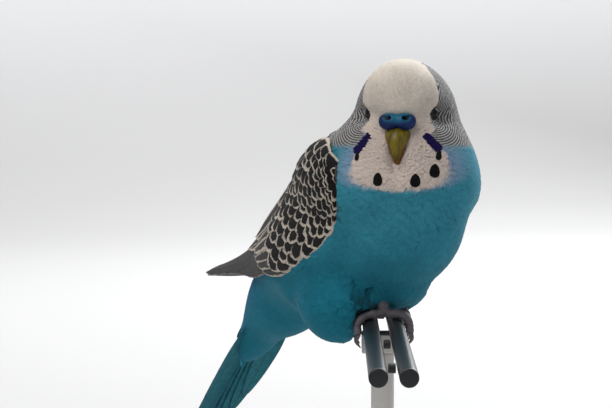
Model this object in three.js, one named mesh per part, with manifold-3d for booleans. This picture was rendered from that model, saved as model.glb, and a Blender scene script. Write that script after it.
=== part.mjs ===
// A budgerigar perched on a short twin rail, as a still, life-size model on a plain stand.
// Millimetres, +Z up. The bird faces -Y and its left side is +X.
// The origin is the centre of the stand's underside, and the feet grip the rail right above it.

import * as THREE from "three";
import { mergeVertices } from "three/addons/utils/BufferGeometryUtils.js";
import Module from "manifold-3d";

const wasm = await Module();
wasm.setup();

// Driving dimensions
const GAP = 0.3; // clearance between neighbouring nodes
const RAIL_TOP = 72; // height of the rail's upper line
const RAIL_YAW = 31; // the rail runs this many degrees off the bird's own axis
const HEAD_YAW = 40; // the head is turned this far to the bird's right
const BLEND = 5; // how softly neighbouring masses of the body run into each other

const HEAD_CENTRE = { s: -10, l: 0, z: 51 };
const NECK_CUT = { forward: 12, up: -19.6, slope: 34 }; // chin end of the cut and its rise to the nape
const TORSO_CUT = { s: -21, z: 21, slope: 26 }; // the cut between neck and torso, from breast to mantle
const TAIL_CUT = { s: 56, z: 1 }; // where the tail's root meets the torso
const TAIL_PITCH = 43; // degrees below the horizontal

const EYE_RADIUS = 2.4;
const EYE_CENTRE = { f: 6, l: 6.8, u: 1.7 };
const EYE_AXIS = { f: 0.45, l: 0.89, u: 0.05 }; // where each eye looks
const LID_OFFSET = 1.15; // the ring of the lids lies this far out from the eyeball's centre

const ROD_RADIUS = 2.1;
const ROD_SPACING = 6.5;
const RAIL_FRONT = 92; // from the feet towards the viewer
const RAIL_BACK = 24;
const BASE_RADIUS = 48;
const BASE_THICKNESS = 7;
const POST_RADIUS = 3;

const radians = THREE.MathUtils.degToRad;
const lerp = THREE.MathUtils.lerp;
const clamp = THREE.MathUtils.clamp;
const sine = (degrees) => Math.sin(radians(degrees));
const cosine = (degrees) => Math.cos(radians(degrees));

// Bird coordinates: s backwards, l to the bird's right, z above the rail's upper line.
const birdPoint = (s, l, z) => new THREE.Vector3(-l, s, RAIL_TOP + z);

const headOrigin = birdPoint(HEAD_CENTRE.s, HEAD_CENTRE.l, HEAD_CENTRE.z);
const headForward = new THREE.Vector3(-sine(HEAD_YAW), -cosine(HEAD_YAW), 0);
const headLeft = new THREE.Vector3(cosine(HEAD_YAW), -sine(HEAD_YAW), 0);
const headUp = new THREE.Vector3(0, 0, 1);

// Head coordinates: f forwards, l to the bird's left, u upwards, from the middle of the skull.
const headPoint = (f, l, u) =>
  headOrigin.clone().addScaledVector(headForward, f).addScaledVector(headLeft, l).addScaledVector(headUp, u);

// Soft body masses

function ellipsoid(centre, axes, radii) {
  return { centre, axes, radii };
}

const headAxes = [headForward, headLeft, headUp];
const headMass = (f, l, u, radii) => ellipsoid(headPoint(f, l, u), headAxes, radii);

function bodyMass(s, l, z, pitch, radii) {
  const along = new THREE.Vector3(0, cosine(pitch), -sine(pitch));
  const across = new THREE.Vector3(1, 0, 0);
  const normal = new THREE.Vector3(0, sine(pitch), cosine(pitch));
  return ellipsoid(birdPoint(s, l, z), [along, across, normal], radii);
}

const bothSides = (make) => [make(1), make(-1)];

const headMasses = [
  headMass(-3.5, 0, 0.2, [12.6, 13.3, 14.5]), // skull
  headMass(5, 0, 5.7, [10.8, 9.1, 9.4]), // the round forehead of a show bird
  ...bothSides((side) => headMass(3.6, 5.6 * side, -6.5, [8.2, 8, 7.8])), // cheeks
  ...bothSides((side) => headMass(5.5, 4.6 * side, -10.5, [8.2, 6.4, 8])), // lobes of the mask
];

const bodyMasses = [
  headMass(-4, 0, -9, [15, 15.8, 12]), // neck
  bodyMass(-4.4, 0, 35.5, 0, [24.6, 21.5, 16]), // breast
  bodyMass(10, 0, 28, 34, [26, 17.5, 16]), // mantle
  bodyMass(12.3, 0, 16.7, 15, [40, 20.6, 16.7]), // belly and flanks
  bodyMass(43, 0, 5.5, 36, [26, 12, 12]), // rump and vent
  bodyMass(61, 0, -7, 43, [21, 7.2, 5.2]), // root of the tail
];

// About the distance to an ellipsoid: exact in sign, close enough near its surface
function ellipsoidDistance(p, { centre, axes, radii }) {
  const d = p.clone().sub(centre);
  const local = axes.map((axis) => d.dot(axis));
  const k0 = Math.hypot(...local.map((x, i) => x / radii[i]));
  const k1 = Math.hypot(...local.map((x, i) => x / radii[i] ** 2));
  return k1 < 1e-9 ? -Math.min(...radii) : (k0 * (k0 - 1)) / k1;
}

function softMin(a, b, k) {
  const h = Math.max(k - Math.abs(a - b), 0) / k;
  return Math.min(a, b) - h * h * k * 0.25;
}

const fieldOf = (masses) => (p) =>
  masses.map((mass) => ellipsoidDistance(p, mass)).reduce((a, b) => softMin(a, b, BLEND));
const softMax = (a, b, k) => -softMin(-a, -b, k);

// The orbits: a hollow on each side, under the brow, that the eyes lie in
const orbits = bothSides((side) => headMass(9, 11.3 * side, 1.4, [5.5, 3.6, 3]));
const carved = (field) => (p) =>
  orbits.map((orbit) => -ellipsoidDistance(p, orbit)).reduce((a, b) => softMax(a, b, 1.6), field(p));

const flesh = carved(fieldOf([...headMasses, ...bodyMasses]));
const trunk = fieldOf(bodyMasses);

// The distance from an inner point to the surface where the field first reaches the level.
function reach(field, origin, direction, level, limit) {
  const STEP = 1.2;
  const HALVINGS = 9;
  const depth = (t) => field(origin.clone().addScaledVector(direction, t)) - level;
  if (depth(0) > 0) return 0;
  let near = 0;
  while (near + STEP < limit && depth(near + STEP) < 0) near += STEP;
  let far = near + STEP;
  for (let i = 0; i < HALVINGS; i++) {
    const middle = (near + far) / 2;
    if (depth(middle) < 0) near = middle;
    else far = middle;
  }
  return Math.min(near, limit);
}

// Closed meshes and solids

function solid(geometry) {
  const bare = geometry.index ? geometry.toNonIndexed() : geometry.clone();
  for (const name of Object.keys(bare.attributes)) if (name !== "position") bare.deleteAttribute(name);
  const merged = mergeVertices(bare, 1e-4);
  return new wasm.Manifold(
    new wasm.Mesh({
      numProp: 3,
      vertProperties: new Float32Array(merged.attributes.position.array),
      triVerts: new Uint32Array(merged.index.array),
    }),
  );
}

function geometryOf(manifold) {
  const mesh = manifold.getMesh();
  const geometry = new THREE.BufferGeometry();
  geometry.setAttribute("position", new THREE.BufferAttribute(new Float32Array(mesh.vertProperties), 3));
  geometry.setIndex(new THREE.BufferAttribute(new Uint32Array(mesh.triVerts), 1));
  geometry.computeVertexNormals();
  return geometry;
}

const largest = (manifold) => manifold.decompose().reduce((a, b) => (a.volume() > b.volume() ? a : b));
const joined = (solids) => solids.reduce((a, b) => a.add(b));

// A sphere whose rays run out from one point to the field's surface.
function rayBall(field, origin, { around, along, level = 0, limit }) {
  const geometry = new THREE.SphereGeometry(1, around, along);
  const position = geometry.attributes.position;
  for (let i = 0; i < position.count; i++) {
    const direction = new THREE.Vector3()
      .fromBufferAttribute(position, i)
      .applyEuler(new THREE.Euler(Math.PI / 2, 0, 0));
    const t = reach(field, origin, direction, level, limit);
    const p = origin.clone().addScaledVector(direction, t);
    position.setXYZ(i, p.x, p.y, p.z);
  }
  return solid(geometry);
}

// A sphere drawn out along a spine: its caps fan out at both ends, its rings stand across the spine.
function rayTube(field, spine, { around, along, caps, level = 0, limit }) {
  const geometry = new THREE.SphereGeometry(1, around, along);
  const position = geometry.attributes.position;
  const side = new THREE.Vector3(1, 0, 0);
  for (let i = 0; i < position.count; i++) {
    const unit = new THREE.Vector3().fromBufferAttribute(position, i);
    const row = Math.round((Math.acos(clamp(unit.y, -1, 1)) / Math.PI) * along);
    const t = clamp((row - caps) / (along - 2 * caps), 0, 1);
    const tangent = spine.getTangentAt(t);
    const normal = new THREE.Vector3().crossVectors(tangent, side).normalize();
    const angle = Math.atan2(unit.z, unit.x);
    const lean = row < caps ? row / caps : row > along - caps ? (along - row) / caps : 1;
    const end = row < caps ? -1 : 1;
    const direction = side.clone().multiplyScalar(Math.cos(angle)).addScaledVector(normal, Math.sin(angle));
    if (row === 0 || row === along) direction.set(0, 0, 0);
    direction
      .multiplyScalar(Math.sin((lean * Math.PI) / 2))
      .addScaledVector(tangent, end * Math.cos((lean * Math.PI) / 2));
    const origin = spine.getPointAt(t);
    const p = origin.clone().addScaledVector(direction, reach(field, origin, direction, level, limit));
    position.setXYZ(i, p.x, p.y, p.z);
  }
  const made = solid(geometry);
  return made.volume() > 0 ? made : solid(turned(geometry));
}

// The same mesh with its faces turned over.
function turned(geometry) {
  const index = geometry.index.array;
  for (let i = 0; i < index.length; i += 3) [index[i + 1], index[i + 2]] = [index[i + 2], index[i + 1]];
  return geometry;
}

// A big box on one side of a plane, moved along the normal by the offset.
function halfSpace(point, normal, offset) {
  const SIZE = 400;
  const box = new THREE.BoxGeometry(SIZE, SIZE, SIZE).translate(0, 0, SIZE / 2);
  box.applyQuaternion(new THREE.Quaternion().setFromUnitVectors(headUp, normal.clone().normalize()));
  const p = point.clone().addScaledVector(normal.clone().normalize(), offset);
  return solid(box.translate(p.x, p.y, p.z));
}

// A closed skin over rings of points, each ring with the same count, capped by flat fans.
function loft(rings) {
  const n = rings[0].length;
  const points = rings.flat();
  const triangles = [];
  for (let i = 0; i + 1 < rings.length; i++)
    for (let k = 0; k < n; k++) {
      const a = i * n + k;
      const b = i * n + ((k + 1) % n);
      triangles.push(a, b, b + n, a, b + n, a + n);
    }
  const last = (rings.length - 1) * n;
  for (let k = 1; k + 1 < n; k++) {
    triangles.push(0, k + 1, k);
    triangles.push(last, last + k, last + k + 1);
  }
  return closed(points, triangles);
}

function closed(points, triangles) {
  const geometry = new THREE.BufferGeometry().setFromPoints(points);
  geometry.setIndex(triangles);
  const made = solid(geometry);
  return made.volume() > 0 ? made : solid(turned(geometry));
}

// A round limb through points, with a radius for each of them.
function limb(points, radii, sides = 6) {
  const curve = new THREE.CatmullRomCurve3(points);
  const steps = Math.round((points.length - 1) * 1.25);
  const frames = curve.computeFrenetFrames(steps, false);
  const rings = [];
  for (let i = 0; i <= steps; i++) {
    const t = i / steps;
    const place = t * (radii.length - 1);
    const k = Math.min(Math.floor(place), radii.length - 2);
    const radius = lerp(radii[k], radii[k + 1], place - k);
    const centre = curve.getPoint(t);
    rings.push(
      Array.from({ length: sides }, (_, j) => {
        const angle = (2 * Math.PI * j) / sides;
        return centre
          .clone()
          .addScaledVector(frames.normals[i], radius * Math.cos(angle))
          .addScaledVector(frames.binormals[i], radius * Math.sin(angle));
      }),
    );
  }
  return loft(rings);
}

// A feather's vane: place(t, across, height) gives its points, with t from root to tip.
// Shapes list how far along and how wide its stations are.
const BLUNT = { stations: [0, 0.4, 0.8, 1], widths: [0.7, 0.98, 0.9, 0.34] };
const LONG = { stations: [0, 0.45, 0.85, 1], widths: [0.75, 1, 0.85, 0.2] };
const POINTED = { stations: [0, 0.4, 0.8, 1], widths: [0.8, 1, 0.74, 0.12] };

// The tilt lowers one edge under the next vane and lifts the other over the one before.
function vane(place, { shape, width, thick = 0.7, rootLift, tipLift, tilt = 0 }) {
  const rings = shape.stations.map((t, i) => {
    const half = (width / 2) * shape.widths[i];
    const lift = lerp(rootLift, tipLift, Math.sqrt(t));
    const body = thick * lerp(1, 0.75, t);
    const rise = half * tilt;
    return [
      place(t, -half, lift + rise),
      place(t, half, lift - rise),
      place(t, half, lift - rise + body * 0.75),
      place(t, 0, lift + body * 1.15),
      place(t, -half, lift + rise + body * 0.75),
    ];
  });
  return vaneLoft(rings);
}

// Five points a ring: a flat under side and a ridged upper one, split along mirrored diagonals.
function vaneLoft(rings) {
  const n = 5;
  const points = rings.flat();
  const triangles = [];
  const quad = (a, b, c, d, flip) =>
    flip ? triangles.push(a, b, d, b, c, d) : triangles.push(a, b, c, a, c, d);
  for (let i = 0; i + 1 < rings.length; i++)
    for (let k = 0; k < n; k++) {
      const a = i * n + k;
      const b = i * n + ((k + 1) % n);
      quad(a, b, b + n, a + n, k === 3);
    }
  const last = (rings.length - 1) * n;
  for (const [a, b, c] of [[0, 4, 1], [4, 2, 1], [4, 3, 2]]) {
    triangles.push(a, b, c);
    triangles.push(last + a, last + c, last + b);
  }
  return closed(points, triangles);
}

const reversed = (normal) => normal.clone().negate();

// The rail: two round rods side by side, with cross rungs, running towards the viewer

const railAway = new THREE.Vector3(sine(RAIL_YAW), cosine(RAIL_YAW), 0);
const railRight = new THREE.Vector3(cosine(RAIL_YAW), -sine(RAIL_YAW), 0);

// Rail coordinates: t away from the viewer, x to the viewer's right, z above the rail's upper line.
const railPoint = (t, x, z) =>
  new THREE.Vector3(0, 0, RAIL_TOP + z).addScaledVector(railAway, t).addScaledVector(railRight, x);

function rod(side, extra = 0) {
  const x = (side * ROD_SPACING) / 2;
  const ends = [-RAIL_FRONT - extra, RAIL_BACK + extra].map((t) => railPoint(t, x, -ROD_RADIUS));
  const length = ends[0].distanceTo(ends[1]);
  const bar = new THREE.CylinderGeometry(ROD_RADIUS + extra, ROD_RADIUS + extra, length, 20);
  bar.applyQuaternion(new THREE.Quaternion().setFromUnitVectors(new THREE.Vector3(0, 1, 0), railAway));
  const middle = ends[0].clone().lerp(ends[1], 0.5);
  return solid(bar.translate(middle.x, middle.y, middle.z));
}

// The space that the rail and the air right between its rods take, kept clear of belly and thighs.
function railSpace(extra) {
  const width = ROD_SPACING + 2 * (ROD_RADIUS + extra);
  const box = new THREE.BoxGeometry(width, RAIL_FRONT + RAIL_BACK + 8, 2 * (ROD_RADIUS + extra));
  box.rotateZ(-radians(RAIL_YAW));
  const middle = railPoint((RAIL_BACK - RAIL_FRONT) / 2, 0, -ROD_RADIUS);
  return solid(box.translate(middle.x, middle.y, middle.z));
}

const RUNG_PLACES = [-78, -40, 18];
const RUNG_RADIUS = 1.1;

function rung(t) {
  const length = ROD_SPACING - 2 * ROD_RADIUS - 2 * GAP;
  const bar = new THREE.CylinderGeometry(RUNG_RADIUS, RUNG_RADIUS, length, 12);
  bar.applyQuaternion(new THREE.Quaternion().setFromUnitVectors(new THREE.Vector3(0, 1, 0), railRight));
  const p = railPoint(t, 0, -ROD_RADIUS);
  return solid(bar.translate(p.x, p.y, p.z));
}

// The stand: a round base, one post and a saddle block under the rail

const SADDLE = { width: 11, length: 9, height: 5 };
const SADDLE_TOP = RAIL_TOP - 2 * ROD_RADIUS - GAP;

function standBase() {
  const CHAMFER = 1;
  const profile = [
    [0, 0],
    [BASE_RADIUS, 0],
    [BASE_RADIUS, BASE_THICKNESS - CHAMFER],
    [BASE_RADIUS - CHAMFER, BASE_THICKNESS],
    [0, BASE_THICKNESS],
  ].map(([x, y]) => new THREE.Vector2(x, y));
  return solid(new THREE.LatheGeometry(profile, 48).rotateX(Math.PI / 2));
}

function standPost() {
  const low = BASE_THICKNESS + GAP;
  const high = SADDLE_TOP - SADDLE.height - GAP;
  const post = new THREE.CylinderGeometry(POST_RADIUS, POST_RADIUS, high - low, 24).rotateX(Math.PI / 2);
  return solid(post.translate(0, 0, (low + high) / 2));
}

function standSaddle() {
  const block = new THREE.BoxGeometry(SADDLE.width, SADDLE.length, SADDLE.height);
  block.rotateZ(-radians(RAIL_YAW));
  return solid(block.translate(0, 0, SADDLE_TOP - SADDLE.height / 2));
}

// Legs: a feathered thigh on each side, and a foot whose toes wrap over both rods

const THIGHS = {
  right: { s: 4, l: 11.5, z: 6, radii: [10.5, 7.5, 10.5], foot: -9 },
  left: { s: 13, l: -11.5, z: 9.5, radii: [10.5, 7.5, 8.5], foot: 8 },
};
const SHIN_TOP = 4.6; // above this height the leg is hidden in the plumage
const TOE_RADIUS = 1.15;
const TOE_HEIGHT = GAP + TOE_RADIUS; // a toe's axis above what it lies on

const thighMass = ({ s, l, z, radii }) => bodyMass(s, l, z, 20, radii);

function thigh(place, extra = 0) {
  const mass = thighMass(place);
  return rayBall(fieldOf([mass]), mass.centre, { around: 18, along: 12, level: extra, limit: 40 });
}

// A toe's path across the rail: x outwards from the middle, then round the outer rod by so many degrees.
function toePath(t0, t1, direction, wrap) {
  const centre = ROD_SPACING / 2;
  const radius = ROD_RADIUS + TOE_HEIGHT;
  const BENDS = 3;
  const points = [
    railPoint(t0, 0, TOE_HEIGHT + 0.5),
    railPoint(lerp(t0, t1, 0.35), direction * centre * 0.6, TOE_HEIGHT),
  ];
  for (let i = 0; i <= BENDS; i++) {
    const angle = (wrap * i) / BENDS;
    points.push(
      railPoint(
        lerp(t0, t1, 0.5 + (0.5 * i) / BENDS),
        direction * (centre + radius * sine(angle)),
        radius * cosine(angle) - ROD_RADIUS,
      ),
    );
  }
  return points;
}

function claw(from, outward, length) {
  const down = new THREE.Vector3(0, 0, -1);
  const points = [
    from.clone(),
    from.clone().addScaledVector(outward, 0.5).addScaledVector(down, length * 0.5),
    from.clone().addScaledVector(outward, -0.6).addScaledVector(down, length),
  ];
  return limb(points, [TOE_RADIUS * 0.75, TOE_RADIUS * 0.5, 0.2], 5);
}

// Front toes on one side of the rail and hind toes on the other, fanned out along it.
function foot(t, front) {
  const FAN = 3.6;
  const toes = [
    { to: t - FAN, direction: front, wrap: 112 },
    { to: t + FAN * 0.4, direction: front, wrap: 104 },
    { to: t - FAN * 0.3, direction: -front, wrap: 106 },
    { to: t + FAN, direction: -front, wrap: 96 },
  ];
  const parts = [];
  for (const { to, direction, wrap } of toes) {
    const path = toePath(t, to, direction, wrap);
    parts.push(limb(path, [TOE_RADIUS * 1.1, TOE_RADIUS, TOE_RADIUS * 0.9, TOE_RADIUS * 0.8]));
    parts.push(claw(path[path.length - 1], railRight.clone().multiplyScalar(direction), 3.4));
  }
  const ankle = railPoint(t, 0, TOE_HEIGHT);
  const shin = ankle.clone().add(new THREE.Vector3(0, 2, 6));
  parts.push(limb([ankle, ankle.clone().lerp(shin, 0.5), shin], [1.5, 1.4, 1.4]));
  return joined(parts).intersect(halfSpace(railPoint(0, 0, SHIN_TOP), reversed(headUp), 0));
}

// Face: cere, bill and eyes

const cereLobe = (side) =>
  fieldOf([
    headMass(14.6, 2.4 * side, -0.5, [1.7, 2.2, 1.85]),
    headMass(14.5, 0.9 * side, 0, [1.7, 1.6, 1.35]),
  ]);

function cereBody(extra = 0) {
  const halves = bothSides(cereLobe);
  const field = (p) => softMin(halves[0](p), halves[1](p), 0.8);
  const centre = headPoint(14.4, 0, -0.4);
  return rayBall(field, centre, { around: 16, along: 10, level: extra, limit: 8 });
}

function nostril(side) {
  const hole = new THREE.CylinderGeometry(0.5, 0.38, 2, 10);
  hole.applyQuaternion(new THREE.Quaternion().setFromUnitVectors(new THREE.Vector3(0, 1, 0), headForward));
  const p = headPoint(16.2, 2.2 * side, 0.5);
  return solid(hole.translate(p.x, p.y, p.z));
}

// The bill's centre line, half width and half depth from its base to its tip
const UPPER_BILL = [
  { f: 11.4, u: -3.9, wide: 2.9, deep: 2.1 },
  { f: 13.6, u: -3.6, wide: 3.2, deep: 2.2 },
  { f: 15.2, u: -5.0, wide: 2.75, deep: 1.9 },
  { f: 15.7, u: -7.0, wide: 1.85, deep: 1.45 },
  { f: 15.2, u: -9.2, wide: 0.95, deep: 0.85 },
  { f: 14.3, u: -11.1, wide: 0.25, deep: 0.25 },
];
const LOWER_BILL = [
  { f: 9.6, u: -6.2, wide: 2.4, deep: 1.6 },
  { f: 11.6, u: -7.2, wide: 2.1, deep: 1.4 },
  { f: 12.9, u: -8.8, wide: 1.4, deep: 0.8 },
];

function bill(stations, sides, extra = 0) {
  const centres = stations.map(({ f, u }) => headPoint(f, 0, u));
  const rings = stations.map(({ wide, deep }, i) => {
    const before = centres[Math.max(i - 1, 0)];
    const after = centres[Math.min(i + 1, centres.length - 1)];
    const tangent = after.clone().sub(before).normalize();
    const normal = new THREE.Vector3().crossVectors(tangent, headLeft).normalize();
    return Array.from({ length: sides }, (_, k) => {
      const angle = (2 * Math.PI * k) / sides;
      return centres[i]
        .clone()
        .addScaledVector(headLeft, (wide + extra) * Math.cos(angle))
        .addScaledVector(normal, (deep + extra) * Math.sin(angle));
    });
  });
  if (extra) for (const end of [rings[0], rings.at(-1)]) shiftEnd(end, centres, extra, end === rings[0]);
  return loft(rings);
}

// Moves an end ring outwards along the bill's line.
function shiftEnd(ring, centres, extra, first) {
  const [end, before] = first ? centres.slice(0, 2) : centres.slice(-2).reverse();
  const outward = end.clone().sub(before).setLength(extra);
  for (const p of ring) p.add(outward);
}

const eyePlaces = bothSides((side) => ({
  centre: headPoint(EYE_CENTRE.f, EYE_CENTRE.l * side, EYE_CENTRE.u),
  axis: headPoint(EYE_AXIS.f, EYE_AXIS.l * side, EYE_AXIS.u).sub(headOrigin).normalize(),
}));

const ball = (centre, radius, width = 14, height = 10) =>
  solid(new THREE.SphereGeometry(radius, width, height).translate(centre.x, centre.y, centre.z));

function lid({ axis, centre }) {
  const ring = new THREE.TorusGeometry(EYE_RADIUS + 0.25, 0.55, 5, 16);
  ring.applyQuaternion(new THREE.Quaternion().setFromUnitVectors(headUp, axis));
  const p = centre.clone().addScaledVector(axis, LID_OFFSET);
  return solid(ring.translate(p.x, p.y, p.z));
}

// Body shells

const spine = new THREE.QuadraticBezierCurve3(
  birdPoint(69, 0, -13),
  birdPoint(2, 0, 26),
  birdPoint(-9, 0, 52),
);

const headBall = rayBall(flesh, headOrigin, { around: 28, along: 21, limit: 30 });
const bodyTube = rayTube(flesh, spine, { around: 26, along: 25, caps: 3, limit: 34 });

const neckCutPoint = headPoint(NECK_CUT.forward, 0, NECK_CUT.up);
const neckCutNormal = headForward
  .clone()
  .multiplyScalar(sine(NECK_CUT.slope))
  .addScaledVector(headUp, cosine(NECK_CUT.slope));
const torsoCutPoint = birdPoint(TORSO_CUT.s, 0, TORSO_CUT.z);
const torsoCutNormal = new THREE.Vector3(0, -sine(TORSO_CUT.slope), cosine(TORSO_CUT.slope));
const tailCutPoint = birdPoint(TAIL_CUT.s, 0, TAIL_CUT.z);
const tailAlong = new THREE.Vector3(0, cosine(TAIL_PITCH), -sine(TAIL_PITCH));
const tailUp = new THREE.Vector3(0, sine(TAIL_PITCH), cosine(TAIL_PITCH));
const behindTailCut = halfSpace(tailCutPoint, tailAlong, GAP / 2);

// Folded wing: a surface between a lower and an upper edge, seen from the side

const edgeCurve = (list) => new THREE.CatmullRomCurve3(list.map(([s, z]) => new THREE.Vector3(s, 0, z)));
const WING_LOWER = edgeCurve([[-13, 34], [-7, 22], [10, 12.5], [33, 8.5], [62, 5.2], [93, 2.6]]);
const WING_UPPER = edgeCurve([[-12, 39], [-2, 45], [18, 36], [44, 22.5], [68, 11.5], [93, 4.4]]);
const WING_PROFILE = [
  { s: -13, low: 17.5, top: 14.5 },
  { s: 10, low: 19, top: 14 },
  { s: 33, low: 16, top: 11 },
  { s: 62, low: 10, top: 5.5 },
  { s: 94, low: 4.6, top: 3.4 },
];
const WING_PROUD = 0.8; // how far the folded wing stands out of the body's side

function profileAt(s) {
  const i = clamp(WING_PROFILE.findIndex((p) => p.s > s), 1, WING_PROFILE.length - 1);
  const pastEnd = s >= WING_PROFILE.at(-1).s;
  const [a, b] = pastEnd ? WING_PROFILE.slice(-2) : [WING_PROFILE[i - 1], WING_PROFILE[i]];
  const t = clamp((s - a.s) / (b.s - a.s), 0, 1);
  return { low: lerp(a.low, b.low, t), top: lerp(a.top, b.top, t) };
}

// The body's half width at a point of the side view.
function halfWidth(s, z) {
  return reach(trunk, birdPoint(s, 0, z), new THREE.Vector3(-1, 0, 0), 0, 40);
}

function wingSide(a, b) {
  const low = WING_LOWER.getPoint(clamp(a, 0, 1));
  const top = WING_UPPER.getPoint(clamp(a, 0, 1));
  const chord = Math.hypot(top.x - low.x, top.z - low.z);
  return { s: lerp(low.x, top.x, b), z: lerp(low.z, top.z, b), chord };
}

function wingOuter(a, b) {
  const { s, z } = wingSide(a, b);
  const p = profileAt(s);
  const roof = lerp(p.low, p.top, clamp(b, 0, 1) ** 1.4);
  const skin = halfWidth(s, z) + WING_PROUD;
  const l = -softMin(-roof, -skin, 3);
  return birdPoint(s, l, z);
}

function wingNormal(a, b) {
  const STEP = 0.02;
  const along = wingOuter(Math.min(a + STEP, 1), b).sub(wingOuter(Math.max(a - STEP, 0), b));
  const across = wingOuter(a, Math.min(b + STEP * 2, 1)).sub(wingOuter(a, Math.max(b - STEP * 2, 0)));
  const normal = new THREE.Vector3().crossVectors(along, across).normalize();
  return normal.x > 0 ? normal.negate() : normal;
}

const wingThickness = (a) => lerp(4.2, 1.2, clamp(a / 0.75, 0, 1));

// The wing's core: a slab between its outer surface and a face sunk into the body's side.
// A pocket is the same slab grown by the gap and drawn outwards, to clear the body around the wing.
const CORE_ALONG = 14;
const CORE_ACROSS = 4;
const CORE_RANGE = [0.02, 0.995];

function coreRing(i, { grow = 0, outside = 0 }) {
  const a = lerp(...CORE_RANGE, i / CORE_ALONG);
  const bend = 1 - Math.min(1, (i / CORE_ALONG) * 6);
  const inset = 0.5 - 0.5 * Math.sqrt(1 - bend * bend);
  const cells = [];
  for (let j = 0; j <= CORE_ACROSS; j++) {
    const outer = wingOuter(a, lerp(inset, 1 - inset, j / CORE_ACROSS));
    const inner = outer.clone().add(new THREE.Vector3(wingThickness(a) + grow, 0, 0));
    outer.x -= outside;
    const rise = j === 0 ? -grow : j === CORE_ACROSS ? grow : 0;
    outer.z += rise;
    inner.z += rise;
    cells.push({ outer, inner });
  }
  return [...cells.map((c) => c.outer), ...cells.map((c) => c.inner).reverse()];
}

function wingCore(options = {}) {
  const { grow = 0 } = options;
  const rings = Array.from({ length: CORE_ALONG + 1 }, (_, i) => coreRing(i, options));
  if (grow) {
    rings.unshift(rings[0].map((p) => p.clone().add(new THREE.Vector3(0, -1.5 * grow, 0))));
    rings.push(rings.at(-1).map((p) => p.clone().add(new THREE.Vector3(0, 1.5 * grow, 0))));
  }
  return loft(rings);
}

const mirrored = (manifold) => manifold.mirror([1, 0, 0]);

// Rows of feathers on the folded wing, from the wing tip forwards. a runs from bend to tip and
// b from the lower to the upper edge; each row gives its first and last feather's root and tip.
const WING_TILT = 0.17;
const WING_ROWS = [
  {
    name: "primaries", count: 6, shape: LONG, width: 5.4,
    rootLift: -0.9, tipLift: 0.15, tilt: WING_TILT, wander: 0.004,
    first: { root: [0.42, 0.2], tip: [0.76, 0.12] }, last: { root: [0.5, 0.72], tip: [0.995, 0.5] },
  },
  {
    name: "secondaries", count: 6, shape: LONG, width: 4.9,
    rootLift: -0.8, tipLift: 0.5, tilt: WING_TILT, wander: 0.006,
    first: { root: [0.25, 0.1], tip: [0.5, 0.08] }, last: { root: [0.34, 0.82], tip: [0.72, 0.84] },
  },
  {
    name: "greater coverts", count: 5, shape: BLUNT, width: 5.3,
    rootLift: -0.7, tipLift: 0.95, tilt: WING_TILT, wander: 0.008,
    first: { root: [0.17, 0.1], tip: [0.345, 0.08] }, last: { root: [0.24, 0.82], tip: [0.44, 0.86] },
  },
  {
    name: "median coverts", count: 5, shape: BLUNT, width: 5.2,
    rootLift: -0.6, tipLift: 1.15, tilt: WING_TILT, wander: 0.008,
    first: { root: [0.11, 0.1], tip: [0.245, 0.08] }, last: { root: [0.16, 0.82], tip: [0.32, 0.86] },
  },
  {
    name: "lesser coverts", count: 4, shape: BLUNT, width: 5.2,
    rootLift: -0.6, tipLift: 1.2, tilt: WING_TILT, wander: 0.006,
    first: { root: [0.055, 0.16], tip: [0.16, 0.13] }, last: { root: [0.09, 0.8], tip: [0.22, 0.84] },
  },
  {
    name: "marginal coverts", count: 3, shape: BLUNT, width: 4.8,
    rootLift: -0.5, tipLift: 1.1, tilt: WING_TILT, wander: 0.004,
    first: { root: [0.03, 0.3], tip: [0.1, 0.2] }, last: { root: [0.04, 0.7], tip: [0.13, 0.78] },
  },
  {
    name: "scapulars", count: 3, shape: BLUNT, width: 6.2,
    rootLift: -0.5, tipLift: 1.5, tilt: WING_TILT, wander: 0.008,
    first: { root: [0.32, 0.92], tip: [0.55, 1.0] }, last: { root: [0.08, 0.86], tip: [0.26, 0.98] },
  },
];

// A number from -1 to 1 that looks random and is always the same for the same k.
function uneven(k) {
  const scattered = Math.sin(k * 12.9898 + 4.1) * 43758.5453;
  return 2 * (scattered - Math.floor(scattered)) - 1;
}

function wingPlace(root, tip) {
  return (t, across, height) => {
    const a = lerp(root[0], tip[0], t);
    const b = lerp(root[1], tip[1], t);
    return wingOuter(a, b + across / wingSide(a, b).chord).addScaledVector(wingNormal(a, b), height);
  };
}

function wingRow(row, seed) {
  const vanes = [];
  for (let i = 0; i < row.count; i++) {
    const t = i / (row.count - 1);
    const root = row.first.root.map((v, k) => lerp(v, row.last.root[k], t));
    const tip = row.first.tip.map((v, k) => lerp(v, row.last.tip[k], t));
    tip[0] = Math.min(tip[0] + row.wander * uneven(seed + i), 1);
    vanes.push(vane(wingPlace(root, tip), row));
  }
  return vanes;
}

// The core with all its vanes, cut clear of the body's own surface, for the side that turn gives.
function featheredWing(turn, bodyRoom) {
  const vanes = joined(WING_ROWS.flatMap((row, i) => wingRow(row, 10 * i)));
  return largest(turn(wingCore()).add(turn(vanes).subtract(bodyRoom)));
}

// Tail: a root cone and a wedge of vanes along one pitched plane

function tailPlace(along, across, height) {
  const arch = 0.02 * across * across;
  return tailCutPoint
    .clone()
    .addScaledVector(tailAlong, along)
    .addScaledVector(new THREE.Vector3(1, 0, 0), across)
    .addScaledVector(tailUp, height - arch);
}

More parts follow.
